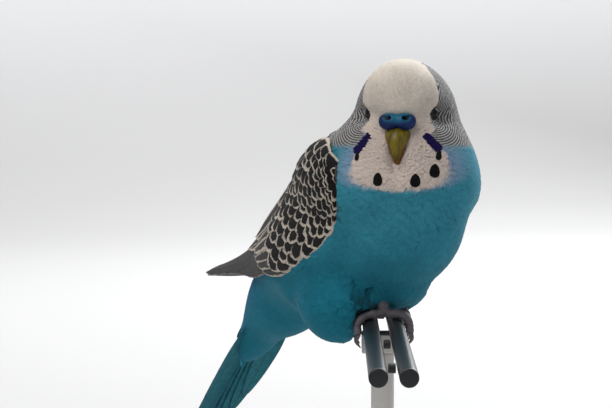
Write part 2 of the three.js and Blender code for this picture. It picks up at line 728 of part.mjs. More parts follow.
// Tail feathers, from the middle pair outwards: how long and how far from the middle they are.
const TAIL_PAIRS = [
  { length: 92, root: 1, spread: 1.2 },
  { length: 80, root: 1.8, spread: 2.6 },
  { length: 70, root: 2.5, spread: 3.7 },
  { length: 61, root: 3.1, spread: 4.7 },
  { length: 52, root: 3.7, spread: 5.6 },
  { length: 43, root: 4.2, spread: 6.4 },
];
const TAIL_ROOT = 6; // where the tail feathers' roots lie behind the cut
const TAIL_FEATHER = { shape: POINTED, width: 6.6, thick: 0.75 };
const TAIL_STEP = 0.42; // each pair lies this much lower than the one inside it
const TAIL_COVERTS = [
  { side: 1, count: 5, length: 25, width: 5.6, height: 1.6, droop: -0.7, spread: 4.4 },
  { side: -1, count: 5, length: 31, width: 5.8, height: -3.1, droop: 0.6, spread: 4.2 },
];

function tailFeather({ length, root, spread }, side, order) {
  const place = (t, across, height) =>
    tailPlace(TAIL_ROOT + t * length, side * lerp(root, spread, Math.sqrt(t)) + across, height);
  const lift = -TAIL_STEP * order + (side > 0 ? 0 : -0.12);
  return vane(place, { ...TAIL_FEATHER, rootLift: lift - 0.4, tipLift: lift - 0.4 });
}

function tailCovert({ side, length, width, height, droop, spread }, place, seed) {
  const reachOut = length * (1 - 0.28 * Math.abs(place)) + uneven(seed);
  const bend = 1.1 * place * place * side;
  const at = (t, across, lift) =>
    tailPlace(3 + t * reachOut, spread * place * (0.75 + 0.35 * t) + across, side * lift);
  const base = side * height - bend * side;
  return vane(at, { shape: BLUNT, width, rootLift: base - 1.4, tipLift: base + droop });
}

function tailFeathers() {
  const feathers = [];
  TAIL_PAIRS.forEach((pair, order) => {
    feathers.push(...bothSides((side) => tailFeather(pair, side, order)));
  });
  TAIL_COVERTS.forEach((row, k) => {
    for (let i = 0; i < row.count; i++)
      feathers.push(tailCovert(row, (2 * i) / (row.count - 1) - 1, 50 + 10 * k + i));
  });
  return feathers;
}

// Nodes

const railRoom = railSpace(GAP);
const feet = {
  right: foot(THIGHS.right.foot, -1),
  left: foot(THIGHS.left.foot, 1),
};

// Room around a foot's shin, so that thigh and belly keep clear of it.
function footRoom(t) {
  const DEPTH = 10;
  const room = new THREE.BoxGeometry(ROD_SPACING + 2 * ROD_RADIUS + 7, 12.5, DEPTH);
  room.rotateZ(-radians(RAIL_YAW));
  const p = railPoint(t, 0, SHIN_TOP + GAP - DEPTH / 2);
  return solid(room.translate(p.x, p.y + 0.6, p.z));
}

const feetRoom = footRoom(THIGHS.right.foot).add(footRoom(THIGHS.left.foot));
const bodyRoom = rayTube(flesh, spine, { around: 26, along: 25, caps: 3, level: GAP, limit: 34 });
const pocket = wingCore({ grow: GAP, outside: 20 });
const pockets = pocket.add(mirrored(pocket));
const thighSolids = {};
for (const [name, place] of Object.entries(THIGHS))
  thighSolids[name] = largest(thigh(place).subtract(railRoom).subtract(feetRoom).subtract(pockets));

const thighRoom = thigh(THIGHS.right, GAP).add(thigh(THIGHS.left, GAP));

const eyeRoom = joined(eyePlaces.map(({ centre }) => ball(centre, EYE_RADIUS + GAP)));

const upperBill = bill(UPPER_BILL, 14);
const upperBillRoom = bill(UPPER_BILL, 14, GAP);
const lowerBill = largest(bill(LOWER_BILL, 10).subtract(upperBillRoom));
const cere = largest(cereBody().subtract(joined(bothSides(nostril))).subtract(upperBillRoom));
const faceRoom = joined([cereBody(GAP), upperBillRoom, bill(LOWER_BILL, 10, GAP)]);

const head = largest(
  headBall
    .intersect(halfSpace(neckCutPoint, neckCutNormal, GAP / 2))
    .add(joined(eyePlaces.map(lid)))
    .subtract(eyeRoom)
    .subtract(faceRoom)
    .subtract(pockets),
);
const belowHead = bodyTube.intersect(halfSpace(neckCutPoint, reversed(neckCutNormal), GAP / 2));
const aboveTorso = halfSpace(torsoCutPoint, torsoCutNormal, GAP / 2);
const neck = largest(belowHead.intersect(aboveTorso).subtract(pockets));
const torso = largest(
  belowHead
    .intersect(halfSpace(torsoCutPoint, reversed(torsoCutNormal), GAP / 2))
    .intersect(halfSpace(tailCutPoint, reversed(tailAlong), GAP / 2))
    .subtract(pockets)
    .subtract(thighRoom)
    .subtract(railRoom)
    .subtract(feetRoom),
);
const tail = largest(joined([bodyTube, ...tailFeathers()]).intersect(behindTailCut).subtract(pockets));


const MATERIALS = {
  cap: { color: 0xe9e4dc, roughness: 0.9 },
  body: { color: 0x4aa9c4, roughness: 0.85 },
  wing: { color: 0x3c3a3a, roughness: 0.8 },
  tail: { color: 0x14506e, roughness: 0.7 },
  eye: { color: 0x0a0908, roughness: 0.1 },
  cere: { color: 0x1f57b0, roughness: 0.5 },
  bill: { color: 0x9a9034, roughness: 0.4 },
  leg: { color: 0x7c7478, roughness: 0.7 },
  rail: { color: 0x0b0c0d, roughness: 0.2, metalness: 0.3 },
  stand: { color: 0xb9b4ac, roughness: 0.6 },
};
const materials = Object.fromEntries(
  Object.entries(MATERIALS).map(([name, finish]) => [
    name,
    new THREE.MeshStandardMaterial({ name, ...finish }),
  ]),
);

const nodes = [
  ["head", head, "cap"],
  ["neck", neck, "cap"],
  ["torso", torso, "body"],
  ["tail", tail, "tail"],
  ["wing_right", featheredWing((m) => m, bodyRoom), "wing"],
  ["wing_left", featheredWing(mirrored, bodyRoom), "wing"],
  ["thigh_right", thighSolids.right, "body"],
  ["thigh_left", thighSolids.left, "body"],
  ["foot_right", feet.right, "leg"],
  ["foot_left", feet.left, "leg"],
  ["eye_left", ball(eyePlaces[0].centre, EYE_RADIUS), "eye"],
  ["eye_right", ball(eyePlaces[1].centre, EYE_RADIUS), "eye"],
  ["cere", cere, "cere"],
  ["bill_upper", upperBill, "bill"],
  ["bill_lower", lowerBill, "bill"],
  ["rail_left", rod(-1), "rail"],
  ["rail_right", rod(1), "rail"],
  ...RUNG_PLACES.map((t, i) => [`rail_rung_${i + 1}`, rung(t), "rail"]),
  ["stand_base", standBase(), "stand"],
  ["stand_post", standPost(), "stand"],
  ["stand_saddle", standSaddle(), "stand"],
];

const model = new THREE.Group();
model.name = "budgerigar";
for (const [name, shape, material] of nodes) {
  const mesh = new THREE.Mesh(geometryOf(shape), materials[material]);
  mesh.name = name;
  model.add(mesh);
}

export default model;
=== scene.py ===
"""A budgerigar on a short rail: its skin, feathers, face, feet and stand, drawn over the part's frame."""

import math

import bmesh
import bpy
import numpy as np
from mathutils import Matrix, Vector
from mathutils.bvhtree import BVHTree
from mathutils.kdtree import KDTree


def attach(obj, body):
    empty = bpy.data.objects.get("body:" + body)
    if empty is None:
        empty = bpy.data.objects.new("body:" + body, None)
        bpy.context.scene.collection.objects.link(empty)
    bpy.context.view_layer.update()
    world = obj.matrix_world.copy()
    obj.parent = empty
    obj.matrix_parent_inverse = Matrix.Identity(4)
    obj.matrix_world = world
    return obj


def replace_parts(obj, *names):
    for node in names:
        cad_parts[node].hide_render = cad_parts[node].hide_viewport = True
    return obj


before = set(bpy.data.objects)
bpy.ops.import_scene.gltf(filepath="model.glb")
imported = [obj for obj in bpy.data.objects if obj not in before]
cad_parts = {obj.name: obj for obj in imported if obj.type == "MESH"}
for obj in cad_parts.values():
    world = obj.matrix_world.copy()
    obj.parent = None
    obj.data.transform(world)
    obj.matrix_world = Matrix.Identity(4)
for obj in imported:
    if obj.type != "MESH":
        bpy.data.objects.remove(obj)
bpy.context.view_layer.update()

RANDOM = np.random.default_rng(11)
MM = 0.001

# Places, in millimetres

RAIL_TOP = 72.0
RAIL_YAW = math.radians(31)
HEAD_YAW = math.radians(40)
BLEND = 5.0
UP = np.array([0.0, 0.0, 1.0])
SIDEWAYS = np.array([1.0, 0.0, 0.0])


def unit(v):
    return v / np.maximum(np.linalg.norm(v, axis=-1, keepdims=True), 1e-12)


def bird(s, l, z):
    """s backwards, l to the bird's right, z above the rail's upper line."""
    return np.array([-l, s, RAIL_TOP + z], float)


HEAD_ORIGIN = bird(-10, 0, 51)
HEAD_FORWARD = np.array([-math.sin(HEAD_YAW), -math.cos(HEAD_YAW), 0.0])
HEAD_LEFT = np.array([math.cos(HEAD_YAW), -math.sin(HEAD_YAW), 0.0])
HEAD_AXES = np.array([HEAD_FORWARD, HEAD_LEFT, UP])


def head(f, l, u):
    """f forwards, l to the bird's left, u upwards, from the middle of the skull."""
    return HEAD_ORIGIN + f * HEAD_FORWARD + l * HEAD_LEFT + u * UP


def head_local(points):
    return (points - HEAD_ORIGIN) @ HEAD_AXES.T


RAIL_AWAY = np.array([math.sin(RAIL_YAW), math.cos(RAIL_YAW), 0.0])
RAIL_RIGHT = np.array([math.cos(RAIL_YAW), -math.sin(RAIL_YAW), 0.0])


def rail(t, x, z):
    """t away from the viewer, x to the viewer's right, z above the rail's upper line."""
    return RAIL_TOP * UP + t * RAIL_AWAY + x * RAIL_RIGHT + z * UP


def smooth(low, high, x):
    t = np.clip((x - low) / (high - low), 0, 1)
    return t * t * (3 - 2 * t)


def lerp(a, b, t):
    return a + (b - a) * t


# Soft body masses


def head_mass(f, l, u, radii):
    return head(f, l, u), HEAD_AXES, np.array(radii, float)


def body_mass(s, l, z, pitch, radii):
    angle = math.radians(pitch)
    along = [0, math.cos(angle), -math.sin(angle)]
    normal = [0, math.sin(angle), math.cos(angle)]
    return bird(s, l, z), np.array([along, SIDEWAYS, normal]), np.array(radii, float)


HEAD_MASSES = [
    head_mass(-3.5, 0, 0.2, [12.6, 13.3, 14.5]),
    head_mass(5, 0, 5.7, [10.8, 9.1, 9.4]),
    head_mass(3.6, 5.6, -6.5, [8.2, 8, 7.8]),
    head_mass(3.6, -5.6, -6.5, [8.2, 8, 7.8]),
    head_mass(5.5, 4.6, -10.5, [8.2, 6.4, 8]),
    head_mass(5.5, -4.6, -10.5, [8.2, 6.4, 8]),
]
BODY_MASSES = [
    head_mass(-4, 0, -9, [15, 15.8, 12]),
    body_mass(-4.4, 0, 35.5, 0, [24.6, 21.5, 16]),
    body_mass(10, 0, 28, 34, [26, 17.5, 16]),
    body_mass(12.3, 0, 16.7, 15, [40, 20.6, 16.7]),
    body_mass(43, 0, 5.5, 36, [26, 12, 12]),
    body_mass(61, 0, -7, 43, [21, 7.2, 5.2]),
]
ORBITS = [head_mass(9, 11.3 * side, 1.4, [5.5, 3.6, 3]) for side in (1, -1)]
THIGH_MASSES = [
    body_mass(4, 11.5, 6, 20, [10.5, 7.5, 10.5]),
    body_mass(13, -11.5, 9.5, 20, [10.5, 7.5, 8.5]),
]


def distance(points, mass):
    centre, axes, radii = mass
    local = (points - centre) @ axes.T / radii
    k0 = np.linalg.norm(local, axis=1)
    k1 = np.linalg.norm(local / radii, axis=1)
    return k0 * (k0 - 1) / np.maximum(k1, 1e-9)


def soft_min(a, b, k):
    h = np.maximum(k - np.abs(a - b), 0) / k
    return np.minimum(a, b) - h * h * k / 4


def soft_max(a, b, k):
    return -soft_min(-a, -b, k)


def trunk(points):
    d = distance(points, BODY_MASSES[0])
    for mass in BODY_MASSES[1:]:
        d = soft_min(d, distance(points, mass), BLEND)
    return d


# Edges of the folded wing in the side view, from its bend to its tip
WING_LOWER = [[-13, 34], [-7, 22], [10, 12.5], [33, 8.5], [62, 5.2], [93, 2.6]]
WING_UPPER = [[-12, 39], [-2, 45], [18, 36], [44, 22.5], [68, 11.5], [93, 4.4]]

# The white cap and mask: how far forward they begin at each height, and lower down how wide they are
MASK_EDGE_U = [-4, -0.6, 1.7, 3.5, 8.5, 12, 14, 16]
MASK_EDGE_F = [11.3, 10.4, 9, 8, 7.6, 6.5, 3, -3]
MASK_HALF_U = [-16.9, -15.6, -14.9, -13.8, -12.4, -10, -7.5, -5, -2.5]
MASK_HALF_L = [-9, 4.5, 8.2, 10.6, 11.5, 11.4, 10.7, 8.2, 6.2]
MASK_MIDDLE = 0.8


def wing_edges(s):
    """The heights of the folded wing's lower and upper edge above the rail."""
    a = np.linspace(0, 1, 200)
    low, top = catmull(WING_LOWER, a), catmull(WING_UPPER, a)
    return np.interp(s, low[:, 0], low[:, 1]), np.interp(s, top[:, 0], top[:, 1])


def wing_inset(points):
    """How far inside the outline of a folded wing points lie, in the side view."""
    s = points[:, 1]
    z = points[:, 2] - RAIL_TOP
    lower, upper = wing_edges(s)
    return np.minimum(np.minimum(z - lower, upper - z), np.minimum(s + 13, 92 - s))


def white_edge(f, l, u):
    """How far inside the white cap and mask points lie."""
    by_front = f - np.interp(u, MASK_EDGE_U, MASK_EDGE_F)
    by_width = np.interp(u, MASK_HALF_U, MASK_HALF_L) - np.abs(l - MASK_MIDDLE * smooth(-4, -9, u))
    edge = lerp(by_width, by_front, smooth(-4.5, -1.5, u))
    return np.where((u < -3) & (f < 2), -9, edge)


def relief(points):
    """How far the plumage stands out of the plain masses, or in, where it is parted."""
    f, l, u = head_local(points).T
    cap = 0.6 * smooth(-0.5, 0.8, white_edge(f, l, u)) * smooth(1, 4, u) * smooth(13.5, 10.5, u)
    cap = cap * smooth(3.5, 6.5, np.abs(l)) * (f > 0)
    half = lerp(1.3, 1.8, smooth(-12.5, -9.5, u))
    parting = lerp(0.4, 2.6, smooth(-14, -10.5, u)) * np.exp(-((l / half) ** 2))
    parting = parting * smooth(-4, -7, u) * smooth(-19, -13, u) * (f > 2)
    overlap = wing_inset(points)
    flank = 2.0 * smooth(-8, 0, overlap) * smooth(3.5, 0.5, overlap) * smooth(30, 5, points[:, 1])
    flank = flank * smooth(46, 24, points[:, 2] - RAIL_TOP)
    skirt = 2.4 * smooth(10, 3, points[:, 2] - RAIL_TOP) * smooth(-26, -14, points[:, 1])
    skirt = skirt * smooth(30, 18, points[:, 1])
    return cap - parting + flank + skirt


def rail_clearance(points):
    """Below zero inside the room that the rail and the feet take."""
    local = points - RAIL_TOP * UP
    x = np.abs(local @ RAIL_RIGHT)
    t = local @ RAIL_AWAY
    rods = np.maximum(x - 5.9, local[:, 2] - 0.5)
    feet = np.maximum(np.maximum(x - 7.0, local[:, 2] - 2.7), np.minimum(np.abs(t + 9), np.abs(t - 8)) - 5)
    return np.minimum(rods, feet)


def surface(points):
    """The outside of the plumage is where this is zero."""
    d = distance(points, HEAD_MASSES[0])
    for mass in HEAD_MASSES[1:] + BODY_MASSES:
        d = soft_min(d, distance(points, mass), BLEND)
    for orbit in ORBITS:
        d = soft_max(d, -distance(points, orbit), 1.6)
    for mass in THIGH_MASSES:
        d = soft_min(d, distance(points, mass), 2.5)
    d = d - relief(points)
    return soft_max(d, -rail_clearance(points), 1.5)


def gradient(points):
    step = 0.05
    corners = np.array([[1, -1, -1], [-1, -1, 1], [-1, 1, -1], [1, 1, 1]], float)
    return sum(np.outer(surface(points + step * c), c) for c in corners) / (4 * step)


def settle(points, level, rounds=4):
    """Moves points along the surface's own direction to a level outside or, below zero, inside it."""
    for _ in range(rounds):
        slope = gradient(points)
        size = np.maximum(np.sum(slope * slope, axis=1), 0.09)
        step = np.clip((surface(points) - level) / size, -3, 3)
        points = points - slope * step[:, None]
    return points


# Markings

CREAM = np.array([0.62, 0.555, 0.48])
CHIN = np.array([0.58, 0.49, 0.43])
BREAST = np.array([0.035, 0.23, 0.31])
# Partly painted shade: the belly is a deeper blue than the breast in its own colour, and also darker as painted
# shade on the lower body.
BELLY = np.array([0.008, 0.15, 0.215])
RUMP = np.array([0.004, 0.12, 0.235])
LILAC = np.array([0.19, 0.28, 0.40])
GREY = np.array([0.36, 0.35, 0.34])
PALE = np.array([0.46, 0.41, 0.35])
EAR_LINES = [(head(9, 7.5 * side, 1), head(4, 8.5 * side, 11)) for side in (1, -1)]
SPOTS = [(-4.3, -14.4, 1.2, 1.7), (4.9, -14.6, 1.25, 1.7), (9.4, -12.3, 1.2, 1.75)]
SPOTS += [(-9.9, -8.9, 0.6, 1.2), (10.2, -8.6, 0.7, 1.25)]
VIOLETS = [((-6.9, -3.7), (-9.3, -6.7)), ((6.6, -3.7), (9.3, -6.2))]


def segment_distance(points, ends):
    start, end = (np.array(e, float) for e in ends)
    along = end - start
    t = np.clip((points - start) @ along / (along @ along), 0, 1)
    return np.linalg.norm(points - start - t[:, None] * along, axis=1), t


def bar_phase(points):
    """Counts the bars outwards from behind each eye, closer together on the face than on the nape."""
    d = soft_min(*(segment_distance(points, ends)[0] for ends in EAR_LINES), 9.0)
    widening = 0.022
    return np.log1p(widening * d / 0.49) / widening


def on_mantle(points, normals):
    """One on the back between the wings, where the feathers have dark middles and pale rims."""
    s = points[:, 1]
    z = points[:, 2] - RAIL_TOP
    top = wing_edges(s)[1]
    back = smooth(0.1, 0.35, normals[:, 2]) * smooth(-3, 1, s) * smooth(46, 40, s)
    return back * smooth(-5, -3, z - top)


def coat_colour(points, normals, roots):
    """The plain colour of the plumage, and how much of it is barred."""
    f, l, u = head_local(lerp(points, roots, 0.5)).T
    s = points[:, 1]
    z = points[:, 2] - RAIL_TOP
    # Darker and deeper blue lower down the front: partly the belly's own colour, partly painted shade.
    body = lerp(BELLY, BREAST, smooth(4, 36, z - 0.25 * s)[:, None])
    body = lerp(body, RUMP, (smooth(26, 48, s) * smooth(-0.5, 0.5, normals[:, 2]))[:, None])
    edge = white_edge(f, l, u)
    lilac = smooth(-6.0, -0.5, edge) * smooth(-20, -12, u) * smooth(1, -5, u) * smooth(3, 7, np.abs(l))
    body = lerp(body, LILAC, (0.9 * lilac)[:, None])
    low = np.where(f > -2, -6.0, np.maximum(-6 + 1.2 * (f + 2), -40))
    mantle = on_mantle(points, normals)
    barred = smooth(-1.0, 1.0, u - low) * smooth(0.35, -0.25, edge) * (f > -24)
    barred = barred * (1 - mantle * smooth(3, 6, s))
    base = lerp(body, GREY, barred[:, None])
    mantle = mantle * (1 - barred)
    base = lerp(base, PALE, mantle[:, None])
    softness = lerp(2.0, 0.25, smooth(-15, -8, u))
    white = smooth(-softness, softness, edge)
    cream = lerp(CHIN, CREAM, smooth(-3, 3, u)[:, None])
    base = lerp(base, cream, white[:, None])
    return base, barred * (1 - white)


def ink(points, roots):
    """Signed distances to the black spots and the violet patches on the mask."""
    f, l, u = head_local(points).T
    black = np.full(len(points), 9.0)
    for l0, u0, wide, tall in SPOTS:
        x = (l - l0) / wide
        y = (u - u0) / tall
        x = x * (1 + 0.25 * np.clip(y, -1, 1))
        black = np.minimum(black, (np.hypot(x, y) - 1) * min(wide, tall))
    _, l, u = head_local(lerp(points, roots, 0.75)).T
    violet = np.full(len(points), 9.0)
    for ends in VIOLETS:
        d, t = segment_distance(np.stack([l, u], axis=1), ends)
        violet = np.minimum(violet, d - lerp(0.85, 1.0, t))
    black[f < 0] = 9
    violet[f < 0] = 9
    return black, violet


# Meshes


def corner_normals(points, faces, normals):
    """The outward normals of thin pieces for each face's corners, turned over on their under sides."""
    a, b, c = (points[faces[:, k]] for k in range(3))
    flat = np.cross(b - a, c - a)
    corners = normals[faces]
    under = np.einsum("ij,ij->i", flat, corners.sum(axis=1)) < 0
    corners[under] = -corners[under]
    return corners.reshape(-1, 3)


def add_object(name, points, faces, material, facts=None, normals=None, patch=None, body=True):
    """A smooth closed mesh from millimetre points. Facts are named values for each point."""
    mesh = bpy.data.meshes.new(name)
    faces = np.asarray(faces, np.int32)
    sides = faces.shape[1]
    mesh.vertices.add(len(points))
    mesh.vertices.foreach_set("co", (np.asarray(points) * MM).astype(np.float32).ravel())
    mesh.loops.add(faces.size)
    mesh.loops.foreach_set("vertex_index", faces.ravel())
    mesh.polygons.add(len(faces))
    mesh.polygons.foreach_set("loop_start", np.arange(0, faces.size, sides, dtype=np.int32))
    mesh.update(calc_edges=True)
    mesh.polygons.foreach_set("use_smooth", np.ones(len(faces), bool))
    for key, values in (facts or {}).items():
        values = np.asarray(values, np.float32)
        if values.ndim == 1:
            mesh.attributes.new(key, "FLOAT", "POINT").data.foreach_set("value", values)
        else:
            kind = mesh.attributes.new(key, "FLOAT_VECTOR", "POINT")
            kind.data.foreach_set("vector", values.ravel())
    if patch is not None:
        layer = mesh.uv_layers.new(name="OFBake")
        layer.data.foreach_set("uv", patch[faces.ravel()].astype(np.float32).ravel())
    if normals is not None:
        mesh.normals_split_custom_set(corner_normals(np.asarray(points), faces, normals).tolist())
    mesh.materials.append(material)
    obj = bpy.data.objects.new(name, mesh)
    bpy.context.scene.collection.objects.link(obj)
    if body:
        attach(obj, "root")
    return obj


def tubes(rings):
    """The points and faces of closed tubes from rings[tube, station, corner]."""
    count, stations, corners, _ = rings.shape
    body = rings.reshape(count, stations * corners, 3)
    caps = rings[:, [0, -1]].mean(axis=2)
    points = np.concatenate([body, caps], axis=1)
    i, k = np.meshgrid(np.arange(stations - 1), np.arange(corners), indexing="ij")
    a = (i * corners + k).ravel()
    b = (i * corners + (k + 1) % corners).ravel()
    sides = np.concatenate(
        [np.stack([a, b, b + corners], 1), np.stack([a, b + corners, a + corners], 1)]
    )
    k = np.arange(corners)
    after = (k + 1) % corners
    first = np.full(corners, stations * corners)
    last = first + 1
    end = (stations - 1) * corners
    faces = np.concatenate(
        [sides, np.stack([after, k, first], 1), np.stack([end + k, end + after, last], 1)]
    )
    every = faces[None] + (np.arange(count) * points.shape[1])[:, None, None]
    a, b, c = (points[:, faces[:, k]] - points[:, :1] for k in range(3))
    volume = np.einsum("nij,nij->n", a, np.cross(b, c))
    every[volume < 0] = every[volume < 0][:, :, ::-1]
    return points.reshape(-1, 3), every.reshape(-1, 3)


def spread(values):
    """Values[tube, station, corner, ...] in the order of the points that tubes gives."""
    count, stations, corners = values.shape[:3]
    rest = values.shape[3:]
    body = values.reshape(count, stations * corners, *rest)
    caps = values[:, [0, -1]].mean(axis=2)
    return np.concatenate([body, caps], axis=1).reshape(-1, *rest)


def catmull(points, places):
    """A smooth curve through points, at places from 0 to 1."""
    p = np.asarray(points, float)
    p = np.concatenate([[2 * p[0] - p[1]], p, [2 * p[-1] - p[-2]]])
    place = np.clip(places, 0, 1) * (len(p) - 3)
    i = np.minimum(place.astype(int), len(p) - 4)
    t = (place - i)[:, None]
    a, b, c, d = p[i], p[i + 1], p[i + 2], p[i + 3]
    d0, d1, d2 = (np.sqrt(np.linalg.norm(v, axis=1))[:, None] for v in (b - a, c - b, d - c))
    start = d1 * ((b - a) / d0 - (c - a) / (d0 + d1) + (c - b) / d1)
    stop = d1 * ((c - b) / d1 - (d - b) / (d1 + d2) + (d - c) / d2)
    cubic = 2 * b - 2 * c + start + stop
    square = -3 * b + 3 * c - 2 * start - stop
    return ((cubic * t + square) * t + start) * t + b


def limb(points, radii, stations, corners=14, bump=None):
    """One tube's rings round a smooth curve through points."""
    places = np.linspace(0, 1, stations)
    line = catmull(points, places)
    radius = np.interp(places, np.linspace(0, 1, len(radii)), radii)
    tangent = unit(np.gradient(line, axis=0))
    side = unit(np.cross(tangent, [0.31, 0.17, 0.93]))
    over = np.cross(side, tangent)
    angle = np.linspace(0, 2 * math.pi, corners, endpoint=False)
    if bump is not None:
        radius = radius[:, None] + bump(places[:, None], angle[None])
    else:
        radius = np.repeat(radius[:, None], corners, axis=1)
    across = np.cos(angle)[None, :, None] * side[:, None] + np.sin(angle)[None, :, None] * over[:, None]
    return (line[:, None] + radius[:, :, None] * across)[None]


# Materials


class Look:
    """A procedural material built node by node."""

    def __init__(self, name, **values):
        self.material = bpy.data.materials.new(name)
        self.material.use_nodes = True
        self.tree = self.material.node_tree
        self.shader = self.tree.nodes["Principled BSDF"]
        for key, value in values.items():
            self.shader.inputs[key.replace("_", " ")].default_value = value

    def node(self, kind, **values):
        node = self.tree.nodes.new("ShaderNode" + kind)
        for key, value in values.items():
            setattr(node, key, value)
        return node

    def plug(self, value, socket):
        if isinstance(value, bpy.types.NodeSocket):
            self.tree.links.new(value, socket)
        elif isinstance(value, (tuple, list, np.ndarray)) and socket.type == "RGBA":
            socket.default_value = (*[float(v) for v in value], 1)
        else:
            socket.default_value = value

    def fact(self, name, output="Fac"):
        return self.node("Attribute", attribute_name=name).outputs[output]

    def math(self, operation, a, b=0.0, clamp=False):
        node = self.node("Math", operation=operation, use_clamp=clamp)
        self.plug(a, node.inputs[0])
        self.plug(b, node.inputs[1])
        return node.outputs[0]

    def ramp(self, value, low, high):
        node = self.node("MapRange", interpolation_type="SMOOTHSTEP")
        self.plug(value, node.inputs["Value"])
        node.inputs["From Min"].default_value = low
        node.inputs["From Max"].default_value = high
        return node.outputs["Result"]

    def mix(self, factor, a, b, blend="MIX"):
        node = self.node("Mix", data_type="RGBA", blend_type=blend)
        self.plug(factor, node.inputs[0])
        self.plug(a, node.inputs[6])
        self.plug(b, node.inputs[7])
        return node.outputs[2]

    def noise(self, scale, detail=2.0, vector=None, stretch=None):
        node = self.node("TexNoise")
        node.inputs["Scale"].default_value = scale
        node.inputs["Detail"].default_value = detail
        source = vector or self.node("TexCoord").outputs["Object"]
        if stretch:
            scaled = self.node("VectorMath", operation="MULTIPLY")
            self.plug(source, scaled.inputs[0])
            scaled.inputs[1].default_value = stretch
            source = scaled.outputs[0]
        self.plug(source, node.inputs["Vector"])
        return node.outputs["Fac"]

    def bump(self, height, strength, depth):
        node = self.node("Bump")
        node.inputs["Strength"].default_value = strength
        node.inputs["Distance"].default_value = depth * MM
        self.plug(height, node.inputs["Height"])
        self.plug(node.outputs[0], self.shader.inputs["Normal"])

    def colour(self, value):
        self.plug(value, self.shader.inputs["Base Color"])
        return self.material


def soft_skin(weight, scale):
    """Light that goes a little way into the material."""
    return {"Subsurface_Weight": weight, "Subsurface_Scale": scale}


def coat_look():
    """Plumage: plain colour, fine grey bars, ink marks and barbs, darkened by painted shade where Shade is low.
    """
    look = Look("coat", Roughness=0.85, Sheen_Weight=0.05, Sheen_Roughness=0.4, Specular_IOR_Level=0.12)
    streaks = look.noise(1.0, 2, look.fact("Barb", "Vector"), (0.5, 5.0, 1.0))
    blotches = look.noise(160, 2)
    tone = look.mix(look.ramp(streaks, 0.3, 0.7), (0.86, 0.87, 0.88), (1.08, 1.07, 1.06))
    base = look.mix(1.0, look.fact("Tint", "Vector"), tone, "MULTIPLY")
    tone = look.mix(look.ramp(blotches, 0.3, 0.7), (0.93, 0.93, 0.93), (1.04, 1.04, 1.04))
    base = look.mix(1.0, base, tone, "MULTIPLY")
    wave = look.math("SINE", look.math("MULTIPLY", look.fact("Phase"), 2 * math.pi))
    wobble = look.math("MULTIPLY", look.math("SUBTRACT", streaks, 0.5), 1.0)
    dark = look.ramp(look.math("ADD", wave, wobble), -0.35, 0.35)
    strength = look.math("MULTIPLY", look.fact("Barred"), 0.92)
    base = look.mix(look.math("MULTIPLY", dark, strength), base, (0.025, 0.023, 0.026))
    fray = look.math("MULTIPLY", look.math("SUBTRACT", streaks, 0.5), 0.5)
    violet = look.math("ADD", look.fact("Violet"), fray)
    base = look.mix(look.math("SUBTRACT", 1.0, look.ramp(violet, -0.06, 0.1)), base, (0.007, 0.003, 0.05))
    black = look.math("ADD", look.fact("Black"), look.math("MULTIPLY", fray, 0.3))
    base = look.mix(look.math("SUBTRACT", 1.0, look.ramp(black, -0.07, 0.07)), base, (0.005, 0.004, 0.004))
    # Painted shade: colours are darkened where the Shade value is low, toward each tuft's root and on the skin
    # under the coat.
    base = look.mix(1.0, base, look.mix(look.fact("Shade"), (0.55, 0.56, 0.58), (1.0, 1.0, 1.0)), "MULTIPLY")
    look.bump(streaks, 0.3, 0.1)
    return look.colour(base)


def quill_look():
    """Flight, covert and tail feathers: a darker middle, a paler rim, a shaft and barbs."""
    look = Look("quills", Roughness=0.7, Specular_IOR_Level=0.15)
    place = look.node("SeparateXYZ")
    look.plug(look.fact("Vane", "Vector"), place.inputs[0])
    along, across, rim = place.outputs
    slant = look.math("ADD", along, look.math("MULTIPLY", look.math("ABSOLUTE", across), 1.1))
    barbs = look.math("SINE", look.math("MULTIPLY", slant, 21.0))
    fray = look.math("MULTIPLY", look.math("SUBTRACT", look.noise(1100, 2), 0.5), 0.7)
    drift = look.math("MULTIPLY", look.math("SUBTRACT", look.noise(330, 1), 0.5), 0.8)
    fray = look.math("ADD", fray, drift)
    inside = look.ramp(look.math("SUBTRACT", look.math("ADD", rim, fray), look.fact("Rim")), -0.12, 0.16)
    mottle = look.mix(look.ramp(look.noise(600, 3), 0.3, 0.7), (0.84, 0.84, 0.85), (1.1, 1.1, 1.08))
    base = look.mix(inside, look.fact("Edge", "Vector"), look.fact("Tint", "Vector"))
    shaft = look.math("SUBTRACT", 1.0, look.ramp(look.math("ABSOLUTE", across), 0.04, 0.2))
    base = look.mix(look.math("MULTIPLY", shaft, 0.5), base, (0.02, 0.018, 0.018))
    base = look.mix(1.0, base, mottle, "MULTIPLY")
    look.bump(look.math("ADD", barbs, look.math("MULTIPLY", shaft, 4.0)), 0.25, 0.05)
    return look.colour(base)


def eye_look():
    """A dark eye: near black pupil, brown-grey iris, wet front."""
    look = Look("eye", Roughness=0.09, IOR=1.36, Specular_IOR_Level=0.35)
    ring = look.fact("Ring")
    streaks = look.noise(700, 3)
    iris = look.mix(streaks, (0.014, 0.010, 0.008), (0.045, 0.036, 0.028))
    return look.colour(look.mix(look.ramp(ring, 0.5, 0.62), (0.003, 0.003, 0.003), iris))


def lid_look():
    look = Look("eyelids", Roughness=0.5, **soft_skin(0.15, 0.0006))
    folds = look.noise(900, 3)
    look.bump(folds, 0.5, 0.12)
    return look.colour(look.mix(folds, (0.06, 0.06, 0.065), (0.19, 0.185, 0.185)))


